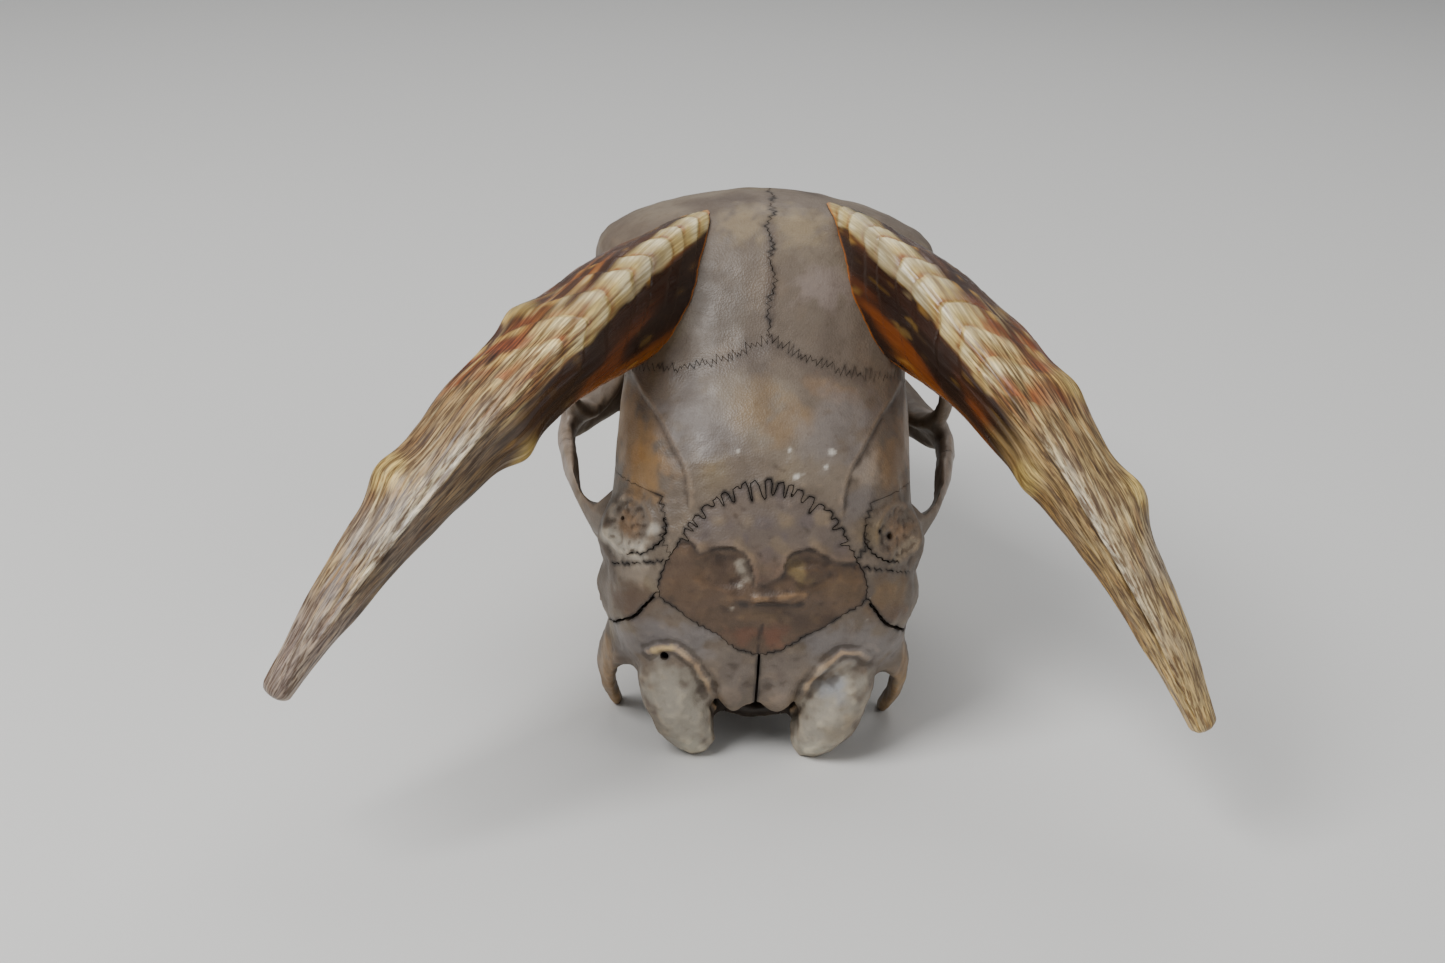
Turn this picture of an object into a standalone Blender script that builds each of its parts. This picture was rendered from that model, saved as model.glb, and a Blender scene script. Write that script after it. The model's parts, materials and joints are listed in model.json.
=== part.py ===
"""Skull of a young goat with both horn sheaths, life size, without its lower jaw.

Sizes are in millimetres in the skull's own frame until the last step: X to the
animal's right, Y towards the nose from the rear of the condyles, Z up from the
tooth sockets. The finished bones are then tipped back to the skull's resting
pitch, set on the floor and centred, in metres.
"""

import math

import bmesh
import bpy
import numpy as np
from mathutils import Euler, Matrix, Vector

MM = 0.001

# Driving sizes of the cranium
BRAINCASE_HALF_WIDTH = 29.8
MASTOID_HALF_WIDTH = 31.0
ORBIT_CENTRE = Vector((33.0, 80.0, 57.5))
ORBIT_RADIUS = 18.3
ORBIT_TURN = math.radians(21.0)
ORBIT_DROOP = math.radians(2.0)
RIM_THICKNESS = 2.3
FLOOR_PITCH = math.radians(20.3)
FLOOR_CUT = 1.5
SUTURE_GAP = 0.3

# Fineness of the surface
VOXEL = 1.15
CRANIUM_TRIANGLES = 6000
SOFTENING_ROUNDS = 5
SECTION_POINTS = 40
RING_STEP = 3.0
BLOB_SEGMENTS = (24, 14)
HOLLOW_SEGMENTS = (32, 20)
SHARP_EDGE = math.radians(40.0)

# The orbit's hollow: how far inside the rim it starts, and how deep and how high it is
ORBIT_WALL = 1.6
ORBIT_DEPTH = 23.0
ORBIT_MOUTH = 14.0
ORBIT_SINK = 1.0


def clear_scene():
    for obj in list(bpy.data.objects):
        bpy.data.objects.remove(obj, do_unlink=True)


def collection_named(name, hidden=False):
    made = bpy.data.collections.new(name)
    bpy.context.scene.collection.children.link(made)
    made.hide_render = hidden
    return made


def smooth_points(points, count, closed=False):
    """A Catmull-Rom curve through the points, sampled evenly in its parameter."""
    knots = np.array([tuple(p) for p in points], float)
    total = len(knots)
    spans = total if closed else total - 1
    out = []
    for t in np.linspace(0, spans, count, endpoint=not closed):
        i = min(int(t), spans - 1)
        u = t - i
        if closed:
            a, b, c, d = (knots[(i + k) % total] for k in (-1, 0, 1, 2))
        else:
            b, c = knots[i], knots[i + 1]
            a = knots[i - 1] if i else 2 * b - c
            d = knots[i + 2] if i + 2 < total else 2 * c - b
        curve = (2 * a - 5 * b + 4 * c - d) * u**2 + (3 * b - a - 3 * c + d) * u**3
        out.append(0.5 * (2 * b + (c - a) * u + curve))
    return np.array(out)


def mesh_object(name, bm, home):
    bmesh.ops.recalc_face_normals(bm, faces=bm.faces)
    mesh = bpy.data.meshes.new(name)
    bm.to_mesh(mesh)
    bm.free()
    obj = bpy.data.objects.new(name, mesh)
    home.objects.link(obj)
    return obj


def loft(name, rings, home):
    """A closed body through rings of equal point count."""
    bm = bmesh.new()
    rows = [[bm.verts.new(tuple(p)) for p in ring] for ring in rings]
    for low, high in zip(rows, rows[1:]):
        for i in range(len(low)):
            j = (i + 1) % len(low)
            bm.faces.new((low[i], low[j], high[j], high[i]))
    bm.faces.new(rows[0])
    bm.faces.new(rows[-1])
    return mesh_object(name, bm, home)


def blob(name, centre, radii, home, turn=(0, 0, 0), both=True):
    """An ellipsoid on the right side and, when both, its mirror on the left."""
    bm = bmesh.new()
    for side in (1, -1) if both else (1,):
        around, down = BLOB_SEGMENTS
        ball = bmesh.ops.create_uvsphere(bm, u_segments=around, v_segments=down, radius=1.0)["verts"]
        spin = Euler([math.radians(a) for a in turn]).to_matrix()
        for vert in ball:
            p = spin @ Vector([c * r for c, r in zip(vert.co, radii)]) + Vector(centre)
            vert.co = (side * p.x, p.y, p.z)
    return mesh_object(name, bm, home)


def bar(name, points, wide, tall, home, count=24, sides=16, both=True, up=Vector((0, 0, 1))):
    """A rod of elliptical section along a smooth path, wide across it and tall along up."""
    path = smooth_points(points, count)
    half_wide = np.interp(np.linspace(0, 1, count), np.linspace(0, 1, len(wide)), wide)
    half_tall = np.interp(np.linspace(0, 1, count), np.linspace(0, 1, len(tall)), tall)
    bm = bmesh.new()
    for side in (1, -1) if both else (1,):
        rows = []
        for k in range(count):
            here = Vector(path[k])
            ahead = (Vector(path[min(k + 1, count - 1)]) - Vector(path[max(k - 1, 0)])).normalized()
            across = ahead.cross(up).normalized()
            lift = across.cross(ahead)
            row = []
            for i in range(sides):
                a = 2 * math.pi * i / sides
                p = here + across * half_wide[k] * math.cos(a) + lift * half_tall[k] * math.sin(a)
                row.append(bm.verts.new((side * p.x, p.y, p.z)))
            rows.append(row)
        for low, high in zip(rows, rows[1:]):
            for i in range(sides):
                j = (i + 1) % sides
                bm.faces.new((low[i], low[j], high[j], high[i]))
        bm.faces.new(rows[0])
        bm.faces.new(rows[-1])
    return mesh_object(name, bm, home)


def skull_ring(row, count=SECTION_POINTS):
    """A mirror-even section at one Y: crown, shoulder, side, low edge and floor."""
    y, top, shoulder, side, low, floor = row
    right = [(0, top), shoulder, side, low]
    left = [(-x, z) for x, z in reversed(right[1:])]
    outline = smooth_points(right + [(0, floor)] + left, count, closed=True)
    return [(x, y, z) for x, z in outline]


def section_loft(name, rows, home):
    """A loft through named sections, with smooth ones between them."""
    flat = [[r[0], r[1], *r[2], *r[3], *r[4], r[5]] for r in rows]
    length = rows[-1][0] - rows[0][0]
    dense = smooth_points(flat, max(len(rows), round(length / RING_STEP)) + 1)
    rings = [skull_ring((d[0], d[1], (d[2], d[3]), (d[4], d[5]), (d[6], d[7]), d[8])) for d in dense]
    return loft(name, rings, home)


def evaluated(obj):
    """Replaces the object's mesh with what its modifiers make of it."""
    graph = bpy.context.evaluated_depsgraph_get()
    mesh = bpy.data.meshes.new_from_object(obj.evaluated_get(graph))
    obj.modifiers.clear()
    obj.data = mesh
    return obj


def joined(name, home, target):
    """All bodies of a collection as one loose mesh object, the originals removed."""
    bm = bmesh.new()
    for obj in list(home.objects):
        bm.from_mesh(obj.data)
        bpy.data.objects.remove(obj, do_unlink=True)
    mesh = bpy.data.meshes.new(name)
    bm.to_mesh(mesh)
    bm.free()
    obj = bpy.data.objects.new(name, mesh)
    target.objects.link(obj)
    return obj


def remesh(obj, size):
    modifier = obj.modifiers.new("skin", "REMESH")
    modifier.mode = "VOXEL"
    modifier.voxel_size = size
    modifier.adaptivity = 0.0
    return evaluated(obj)


def smooth(obj, rounds, factor=0.5):
    modifier = obj.modifiers.new("soften", "SMOOTH")
    modifier.factor = factor
    modifier.iterations = rounds
    return evaluated(obj)


def boolean(obj, other, operation):
    modifier = obj.modifiers.new(operation.lower(), "BOOLEAN")
    modifier.operation = operation
    modifier.solver = "MANIFOLD"
    modifier.object = other
    return evaluated(obj)


# The main body of the skull, rear to front: y, crown height, then the (x, z) of the
# shoulder, the side and the low edge, and the floor's height.
VAULT = [
    (1.0, 37.0, (7.5, 36.0), (13.0, 32.0), (10.0, 28.0), 27.0),
    (4.5, 53.5, (14.0, 50.5), (23.5, 40.0), (18.0, 27.0), 23.0),
    (9.0, 64.0, (17.0, 60.5), (28.5, 45.0), (23.0, 25.0), 19.0),
    (16.0, 72.0, (19.5, 67.5), (MASTOID_HALF_WIDTH, 48.0), (25.5, 25.0), 17.0),
    (24.0, 78.5, (21.5, 73.5), (30.5, 52.0), (24.0, 25.0), 17.0),
    (34.0, 84.0, (23.0, 77.5), (BRAINCASE_HALF_WIDTH, 57.0), (21.5, 28.0), 18.0),
    (42.0, 88.0, (24.0, 80.5), (29.0, 60.0), (18.0, 32.0), 20.0),
    (50.0, 93.8, (25.0, 86.0), (27.0, 65.0), (15.0, 36.0), 24.0),
    (58.0, 98.8, (26.0, 91.0), (28.5, 74.0), (13.5, 40.0), 27.0),
    (66.0, 101.0, (27.0, 93.5), (32.5, 79.0), (13.0, 44.0), 28.0),
    (74.0, 99.3, (27.5, 92.0), (35.0, 78.5), (15.0, 44.0), 27.0),
    (82.0, 95.0, (26.5, 88.5), (35.0, 76.0), (22.0, 44.0), 25.0),
    (90.0, 88.8, (23.5, 83.5), (33.0, 71.0), (25.0, 40.0), 20.0),
    (97.0, 83.0, (19.5, 78.5), (28.5, 60.0), (26.5, 24.0), 7.0),
    (105.0, 77.5, (15.5, 73.5), (25.0, 50.0), (24.0, 8.0), 4.5),
    (113.0, 72.0, (13.0, 68.5), (21.0, 44.0), (20.5, 6.0), 4.5),
    (121.0, 66.5, (11.5, 63.0), (17.5, 38.0), (16.5, 5.0), 4.0),
    (129.0, 61.0, (10.5, 57.5), (14.5, 33.0), (13.0, 4.0), 3.5),
    (137.0, 55.5, (9.5, 52.0), (12.8, 28.0), (11.5, 4.0), 3.5),
]


def add_cranium_masses(home):
    """The swelling masses of the skull that the skin is drawn over."""
    section_loft("vault", VAULT, home)
    # Block behind and below each orbit that holds the back teeth.
    bar(
        "tooth_tuber",
        [(18.5, 55, 15), (19.5, 62, 16), (20.5, 74, 17.5), (21, 88, 19), (20, 102, 20), (17.5, 114, 20)],
        [5.0, 6.8, 7.6, 7.8, 6.6, 4.5],
        [9.0, 13.0, 16.5, 18.5, 19.0, 18.0],
        home,
    )
    # Bony palate and the floor of the nose.
    section_loft(
        "palate",
        [
            (64.5, 8.6, (9.0, 8.1), (17.0, 5.2), (15.0, 2.3), 2.6),
            (90.0, 8.0, (10.0, 8.0), (19.0, 5.0), (17.0, 1.5), 4.0),
            (112.0, 8.0, (9.0, 8.0), (18.0, 5.0), (15.0, 1.5), 4.0),
            (128.0, 7.5, (7.0, 7.5), (13.0, 5.0), (11.0, 1.5), 3.2),
            (148.0, 7.0, (6.0, 6.5), (11.0, 5.0), (9.5, 2.0), 2.5),
        ],
        home,
    )
    # Nasal bones, which overhang the nose opening.
    section_loft(
        "nasals",
        [
            (100.0, 81.0, (9.0, 79.5), (13.5, 74.0), (10.0, 70.0), 72.0),
            (116.0, 70.2, (8.5, 69.0), (12.8, 63.5), (9.5, 60.5), 63.0),
            (130.0, 60.6, (7.5, 59.5), (11.3, 54.5), (8.5, 52.5), 54.5),
            (141.0, 53.0, (6.2, 52.0), (9.0, 48.5), (6.8, 47.0), 49.0),
            (147.5, 48.2, (4.0, 47.8), (6.0, 45.8), (4.0, 45.0), 45.8),
        ],
        home,
    )
    # Premaxillae: flat paired bars with spread tips, and the limbs that climb the nose's sides.
    bar(
        "premaxilla_bar",
        [(8.8, 140, 5.5), (8.6, 150, 5.0), (7.4, 160, 4.6), (7.2, 167, 4.6), (6.6, 171.5, 5.2)],
        [2.6, 2.6, 3.6, 5.2, 3.0],
        [2.8, 2.5, 2.6, 2.3, 1.2],
        home,
    )
    bar(
        "premaxilla_limb",
        [(8.4, 158, 5.0), (9.3, 149, 7.2), (10.6, 141, 13.5), (11.5, 136, 25.5), (11.6, 130, 41.0)],
        [1.9, 2.1, 2.2, 1.9, 1.5],
        [3.0, 4.6, 6.4, 5.2, 3.4],
        home,
    )


def orbit_axes():
    """Outward normal, forward direction and upward direction of the right eye's rim."""
    level = Vector((math.cos(ORBIT_TURN), math.sin(ORBIT_TURN), 0))
    normal = level * math.cos(ORBIT_DROOP) + Vector((0, 0, math.sin(ORBIT_DROOP)))
    ahead = Vector((-math.sin(ORBIT_TURN), math.cos(ORBIT_TURN), 0))
    above = normal.cross(ahead)
    return normal, ahead, above


def add_orbits_and_arches(home):
    """The raised eye rims, the cheek bones and the arches back to the ear."""
    normal, ahead, above = orbit_axes()
    ring = [
        ORBIT_CENTRE + ORBIT_RADIUS * (ahead * math.cos(a) + above * math.sin(a))
        for a in np.linspace(0, 2 * math.pi, 33)
    ]
    bar("rim", ring, [RIM_THICKNESS] * 2, [RIM_THICKNESS * 1.25] * 2, home, count=49, up=normal)
    # Cheek bone below the orbit, from the face's side to the back of the rim.
    bar(
        "cheek",
        [(24.5, 103, 31), (28.5, 96, 32), (34.0, 87, 33.0), (38.5, 78, 35), (41.3, 70, 38.5)],
        [3.0, 3.4, 3.2, 2.8, 2.2],
        [9.0, 9.0, 7.0, 5.5, 4.0],
        home,
    )
    bar(
        "arch",
        [
            (40.6, 72, 40.0), (41.2, 64, 41.5), (40.4, 55, 44.0), (37.6, 45, 45.5), (33.2, 36.5, 46.0),
            (27, 29, 46.0),
        ],
        [2.2, 2.1, 2.0, 2.3, 3.4, 4.5],
        [3.6, 4.4, 4.0, 3.8, 5.0, 6.5],
        home,
    )
    # Root of the arch, the disc behind it and the mastoid below that.
    blob("joint_seat", (28.5, 38.0, 40.5), (7.0, 7.0, 4.6), home, turn=(8, 0, -20))
    blob("disc", (28.2, 23.5, 52.5), (3.6, 7.0, 8.0), home, turn=(38, 0, 22))
    blob("mastoid", (29.0, 19.5, 41.5), (3.4, 6.0, 7.0), home, turn=(20, 0, 10))
    # Short ear tube.
    bar(
        "ear_tube",
        [(20, 29, 27), (27, 28.5, 29.5), (32.0, 27.5, 31.0)],
        [4.2, 3.8, 3.6],
        [4.4, 4.0, 3.8],
        home,
    )


def add_base_masses(home):
    """Condyles, paracondylar processes, ear bullae and the midline base."""
    blob("condyle", (15.6, 2.6, 24.3), (6.5, 6.9, 13.4), home, turn=(-13, 27, 0))
    bar(
        "exoccipital",
        [(4, 4.5, 33.5), (12, 5.5, 35.5), (20, 8.5, 35.0), (27, 13.5, 32.0)],
        [5.0, 5.0, 5.0, 4.0],
        [4.0, 5.5, 6.5, 6.0],
        home,
    )
    bar(
        "paracondylar",
        [(27.5, 13, 33.0), (30.0, 14.5, 25.0), (30.3, 16, 17.0), (29.2, 17.4, 10.5), (27.4, 18.3, 5.2)],
        [2.0, 1.9, 1.7, 1.5, 1.2],
        [6.0, 5.4, 4.4, 3.2, 1.9],
        home,
        up=Vector((0.25, 1, 0)),
    )
    bar(
        "basioccipital",
        [(0, 7.5, 17.0), (0, 18, 17.0), (0, 32, 18.5), (0, 48, 22.0), (0, 64, 27.0)],
        [8.5, 8.0, 7.0, 6.5, 6.0],
        [3.6, 3.8, 4.2, 4.8, 5.0],
        home,
        both=False,
    )
    blob("nape_bar", (0.0, 4.9, 53.0), (10.0, 2.2, 1.7), home, both=False)
    blob("condyle_neck", (11.0, 10.5, 20.5), (6.0, 7.0, 6.0), home, turn=(0, -20, 0))
    blob("bulla", (18.5, 31.5, 15.5), (5.2, 8.5, 10.0), home, turn=(-8, 10, 6))
    # Pterygoid plates down each side of the throat end of the nose.
    bar(
        "pterygoid",
        [(9.0, 47, 24), (9.5, 54, 17), (10.5, 63, 13), (12.5, 74, 10)],
        [1.5, 1.5, 1.6, 2.4],
        [5.0, 10.0, 12.0, 9.0],
        home,
        up=Vector((0, 0.2, 1)),
    )


def add_cutters(home):
    """Hollows: the orbits, the way behind them, the nose, the throat and the brain."""
    normal, ahead, above = orbit_axes()
    bm = bmesh.new()
    around, down = HOLLOW_SEGMENTS
    centre = ORBIT_CENTRE - normal * ORBIT_SINK
    for side in (1, -1):
        ball = bmesh.ops.create_uvsphere(bm, u_segments=around, v_segments=down, radius=1.0)["verts"]
        for vert in ball:
            u, v, w = vert.co
            p = centre + (ahead * u + above * v) * (ORBIT_RADIUS - ORBIT_WALL)
            p += normal * w * (ORBIT_DEPTH if w < 0 else ORBIT_MOUTH)
            vert.co = (side * p.x, p.y, p.z)
    mesh_object("orbit_hollow", bm, home)
    # The fossa behind the rim runs forward under it into the orbit.
    bar(
        "temporal_way",
        [(33.5, 38, 60), (33.0, 48, 55), (30.0, 58, 53), (27.5, 68, 52.5), (26.0, 78, 53)],
        [3.0, 6.2, 9.4, 10.0, 9.0],
        [12.0, 15.5, 15.5, 14.0, 12.0],
        home,
    )
    # Space between the arch and the wall of the pterygoid region.
    bar(
        "under_way",
        [(28.0, 46, 26), (27.5, 56, 27), (27.0, 64, 38)],
        [7.0, 8.0, 7.0],
        [14.0, 14.0, 12.0],
        home,
    )
    bar(
        "nose_hollow",
        [(0, 108, 36), (0, 118, 33), (0, 130, 30), (0, 142, 27), (0, 160, 24)],
        [5.0, 8.5, 9.3, 9.8, 10.0],
        [14.0, 22.0, 22.6, 18.6, 14.0],
        home,
        both=False,
        sides=24,
    )
    bar(
        "throat_hollow",
        [(0, 40, 6), (0, 52, 12.5), (0, 64, 15.5), (0, 80, 16.5)],
        [6.0, 7.2, 7.6, 6.0],
        [6.0, 8.0, 7.0, 4.0],
        home,
        both=False,
    )
    bar(
        "brain_way",
        [(0, -12, 19.0), (0, 0, 22.0), (0, 12, 28.0), (0, 27, 40.0)],
        [9.2, 9.0, 8.6, 9.0],
        [8.4, 8.2, 8.0, 9.0],
        home,
        both=False,
        sides=24,
    )
    blob("brain", (0, 36, 50), (19.5, 20.0, 19.0), home, both=False)
    blob("nape_fossa", (8.7, 4.0, 62.0), (6.0, 5.0, 4.6), home)


# Horn sheaths, one entry a side: where the axis leaves the skull, compass heading away
# from the midline, climb at the base and at the tip, and length along the curve. Each
# swelling is its place along the horn, its angle from the keel, its height and half length.
HORNS = {
    "horn_left": dict(
        side=-1, base=(16.0, 65.0, 85.0), heading=36.0, climb=(31.0, -34.0), length=126.0,
        swellings=((0.67, 85.0, 2.0, 0.035), (0.50, 250.0, 2.2, 0.035), (0.34, 110.0, 1.2, 0.03)),
    ),
    "horn_right": dict(
        side=1, base=(16.8, 67.0, 85.8), heading=35.0, climb=(33.0, -45.0), length=122.5,
        swellings=((0.65, 105.0, 2.2, 0.04), (0.55, 285.0, 1.2, 0.03), (0.46, 105.0, 1.6, 0.04)),
    ),
}
HORN_HALF_DEPTH = (14.5, 13.6, 12.2, 10.6, 8.2, 5.4, 2.8)
HORN_HALF_WIDTH = (11.0, 10.4, 9.4, 8.4, 6.8, 4.8, 2.6)
HORN_KEEL_LEAN = (8.0, 34.0, 42.0, 44.0)
HORN_KEEL_PINCH = (0.55, 0.45, 0.36, 0.28)
HORN_DROOP_RATE = 0.55
HORN_RINGS = 38
HORN_RING_CROWDING = 1.3
HORN_SIDES = 16
KNOT_COUNT = 6
KNOT_HEIGHT = 0.055
KNOT_REACH = 0.42
KNOT_BACK = 0.35
SWELLING_ARC = math.radians(42.0)


def horn_axis(spec):
    """Points along the horn's middle, with its direction at each, closer together at the base."""
    heading = math.radians(spec["heading"])
    out = Vector((math.sin(heading), -math.cos(heading), 0.0))
    low, high = spec["climb"]
    here = Vector(spec["base"])
    places = [(k / (HORN_RINGS - 1)) ** HORN_RING_CROWDING for k in range(HORN_RINGS)]
    axis = []
    for t, after in zip(places, places[1:] + [places[-1]]):
        climb = math.radians(low + (high - low) * t**HORN_DROOP_RATE)
        ahead = out * math.cos(climb) + Vector((0, 0, math.sin(climb)))
        axis.append((t, here.copy(), ahead))
        here += ahead * spec["length"] * (after - t)
    return axis


def swelling(spec, t, angle):
    """How far the sheath's lumps stand out at this place, in millimetres."""
    height = 0.0
    for place, middle, rise, reach in spec["swellings"]:
        aside = math.remainder(angle - math.radians(middle), 2 * math.pi) / SWELLING_ARC
        height += rise * math.exp(-(((t - place) / reach) ** 2) - aside**2)
    return height


def along(values, t):
    return float(np.interp(t, np.linspace(0, 1, len(values)), values))


def horn(name, spec, home):
    """A keeled, ringed sheath: tear-shaped sections that twist along a falling arc."""
    rings = []
    for t, here, ahead in horn_axis(spec):
        level = ahead.cross(Vector((0, 0, 1))).normalized()
        lift = level.cross(ahead)
        lean = math.radians(along(HORN_KEEL_LEAN, t))
        keel = lift * math.cos(lean) + level * math.sin(lean)
        across = keel.cross(ahead)
        pinch = along(HORN_KEEL_PINCH, t)
        fade = max(0.0, 1 - t / KNOT_REACH)
        knot = KNOT_HEIGHT * fade**0.5 * math.cos(2 * math.pi * KNOT_COUNT * t / KNOT_REACH)
        ring = []
        for i in range(HORN_SIDES):
            a = 2 * math.pi * i / HORN_SIDES
            swell = 1 + knot * (KNOT_BACK + (1 - KNOT_BACK) * max(0.0, math.cos(a)))
            deep = along(HORN_HALF_DEPTH, t) * math.cos(a) * swell
            wide = along(HORN_HALF_WIDTH, t) * math.sin(a) * (1 - pinch * math.cos(a)) * swell
            lump = swelling(spec, t, a)
            p = here + keel * (deep + lump * math.cos(a)) + across * (wide + lump * math.sin(a))
            ring.append((spec["side"] * p.x, p.y, p.z))
        rings.append(ring)
    return loft(name, rings, home)


# Cheek teeth from the last molar forwards: length along the row, width and crown height
TOOTH_ROW = [
    (10.6, 8.8, 9.6),
    (12.6, 10.3, 9.9),
    (11.2, 10.0, 9.4),
    (8.3, 8.8, 8.4),
    (7.1, 7.4, 7.6),
    (6.1, 6.0, 6.6),
]
TOOTH_ROW_START = 61.6
TOOTH_GAP = 0.3
TOOTH_ROOT = 5.0
TOOTH_POINTS = 16
TOOTH_ARC_MIDDLE = 78.0
TOOTH_ARC_X = 21.6
TOOTH_ARC_BEND = 0.00085
TOOTH_SQUARENESS = 0.6
LOBED_LENGTH = 9.0
LOBE_PINCH = 0.09
CHEWING_SLOPE = 0.16
CHEWING_CUSPS = 0.10
# Height as a share of the crown, and how full the tooth is there
TOOTH_LEVELS = ((0.0, 0.97), (-0.6, 1.0), (-1.0, 0.93))
TOOTH_ROOT_FULLNESS = 0.86


def tooth_row(home):
    """Cheek teeth of both sides, each a two-lobed prism with a notched chewing edge."""
    for side in (1, -1):
        start = TOOTH_ROW_START
        for k, (length, width, height) in enumerate(TOOTH_ROW):
            y = start + 0.5 * length
            start += length + TOOTH_GAP
            levels = [(TOOTH_ROOT, TOOTH_ROOT_FULLNESS, 0.0)]
            levels += [(share * height, full, height * (share == -1.0)) for share, full in TOOTH_LEVELS]
            rings = [tooth_ring(side, y, length, width, *level) for level in levels]
            loft(f"tooth_{k}_{side}", rings, home)


def tooth_ring(side, y, length, width, z, full, cusps):
    """One section of a tooth; cusps is the crown height that notches it, or none."""
    middle = TOOTH_ARC_X - TOOTH_ARC_BEND * (y - TOOTH_ARC_MIDDLE) ** 2
    lobes = 2 if length > LOBED_LENGTH else 1
    ring = []
    for i in range(TOOTH_POINTS):
        a = 2 * math.pi * i / TOOTH_POINTS
        pinch = 1 - LOBE_PINCH * (1 + math.cos(2 * lobes * a)) * (lobes - 1)
        aside, ahead = (math.copysign(abs(v) ** TOOTH_SQUARENESS, v) for v in (math.sin(a), math.cos(a)))
        edge = CHEWING_SLOPE * math.sin(a) - CHEWING_CUSPS * math.cos(2 * lobes * a)
        x = middle + 0.5 * width * full * pinch * aside
        ring.append((side * x, y + 0.5 * length * full * ahead, z - cusps * edge))
    return ring


# Cells that part the bones. A cone cell spreads from the middle of the braincase
# through an outline on the skull's surface; a plate cell is an outline pushed outwards
# along one axis. Right side or, for a midline bone, its right half.
CORE = Vector((0.0, 36.0, 50.0))
CONE_REACH = 95.0
ZIGZAG_PITCH = 3.2
ZIGZAG_DEPTH = 0.9
SHARPEST_CORNER = 0.25
SLOPED_FLOOR_GAP = 1.6
LEVEL_FLOOR = 1e-6
LARGEST_SHELL_FACTOR = 2.0
MIDLINE = 0.5 * SUTURE_GAP
LEFT_MIDLINE = 0.05

SUPRAOCCIPITAL = [
    (0, 16.8, 72.7), (4.5, 16.2, 72.0), (8.6, 14.9, 70.3), (12.3, 13.4, 68.0), (14.8, 11.7, 65.2),
    (16.3, 10.0, 62.0), (19.4, 8.0, 57.5), (20.3, 6.8, 53.0), (19.6, 5.9, 50.8), (16.4, 4.6, 49.0),
    (12.8, 3.5, 46.8), (8.2, 2.6, 44.2), (4.4, 1.9, 41.3), (0, 1.5, 39.7),
]
EXOCCIPITAL = [
    (MIDLINE, 1.5, 46.0), (14, 4, 53), (20.6, 6.4, 51.5), (24.5, 6.0, 45.5), (29.2, 10.5, 38.8),
    (33.0, 15.0, 34.5), (35.5, 21.5, 27.0), (34.0, 23.5, 17.0), (31.5, 23.5, 6.0), (26.0, 21.5, 0.0),
    (20.0, 17.5, 6.0), (15.5, 17.5, 10.0), (7.2, 12.0, 11.0), (6.2, 4.0, 12.5), (3.0, 1.0, 24.0),
    (MIDLINE, 1.0, 30.0),
]
TEMPORAL = [
    (20.5, 17.0, 67.5), (19.2, 13.2, 64.8), (20.2, 10.8, 61.4), (14.0, 9.0, 56.5), (17.0, 7.0, 53.0),
    (22.0, 3.0, 44.0), (32.0, 8.0, 32.0), (33.0, 12.0, 14.0), (27.0, 20.0, -2.0), (11.0, 20.0, 3.0),
    (11.0, 40.0, 6.0), (20.0, 45.0, 10.0), (33.0, 48.0, 22.0), (46.0, 57.0, 31.0), (47.0, 58.0, 43.0),
    (30.0, 51.0, 55.5), (30.5, 30.0, 62.0), (27.0, 20.0, 67.5),
]
PARIETAL = [
    (0, 41.2, 87.0), (6.0, 38.6, 85.3), (12.0, 37.2, 83.5), (18.0, 37.6, 81.7), (23.0, 40.0, 79.5),
    (27.0, 44.0, 74.5), (28.5, 49.0, 66.0), (28.5, 53.0, 58.0), (30.0, 50.0, 50.0), (33.0, 20.0, 54.0),
    (22.0, 5.0, 56.0), (10.0, 1.0, 58.0), (0, 0.0, 58.0),
]


def zigzag(points, first, last):
    """The outline with its stretch from first to last broken into even zigzags."""
    out = []
    sign = 1
    for k, p in enumerate(points):
        p = Vector(p)
        out.append(p)
        if not first <= k < last:
            continue
        q = Vector(points[k + 1])
        count = max(1, round((q - p).length / ZIGZAG_PITCH))
        aside = (q - p).cross(p - CORE).normalized()
        for i in range(count):
            out.append(p.lerp(q, (i + 0.5) / count) + aside * ZIGZAG_DEPTH * sign)
            sign = -sign
    return out


def mitre(before, after):
    """Shift of a corner that moves both of its walls outwards by one unit."""
    return (before + after) / max(SHARPEST_CORNER, 1.0 + before.dot(after))


def cone_cell(name, outline, home, grow=0.0):
    """A closed cone from the braincase's middle out through the outline, its walls moved out by grow."""
    aims = [(Vector(p) - CORE).normalized() for p in outline]
    count = len(aims)
    middle = sum(aims, Vector()).normalized()
    walls = [aims[i].cross(aims[(i + 1) % count]) for i in range(count)]
    turn = -1.0 if sum(wall.dot(middle) for wall in walls) > 0 else 1.0
    walls = [wall.normalized() * turn for wall in walls]
    bm = bmesh.new()
    apex = bm.verts.new(CORE - middle * grow)
    cap = bm.verts.new(CORE + middle * CONE_REACH)
    shifts = [mitre(walls[i - 1], walls[i]) * grow for i in range(count)]
    far = [bm.verts.new(CORE + shift + aim * CONE_REACH) for shift, aim in zip(shifts, aims)]
    near = [bm.verts.new(CORE + shift) for shift in shifts] if grow else [apex] * count
    for i in range(count):
        j = (i + 1) % count
        bm.faces.new((cap, far[j], far[i]))
        if grow:
            bm.faces.new((near[i], far[i], far[j], near[j]))
            bm.faces.new((apex, near[i], near[j]))
        else:
            bm.faces.new((apex, far[i], far[j]))
    return mesh_object(name, bm, home)


def whole(half):
    """A midline outline made from its right half, which starts and ends at x = 0."""
    return list(half) + [(-p[0], p[1], p[2]) for p in reversed(half[1:-1])]


def mirrored(points):
    """The left side's outline, whose midline edge lies inside the gap that the right side leaves."""
    return [(-p[0] if p[0] > MIDLINE else -LEFT_MIDLINE, p[1], p[2]) for p in points]


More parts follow.
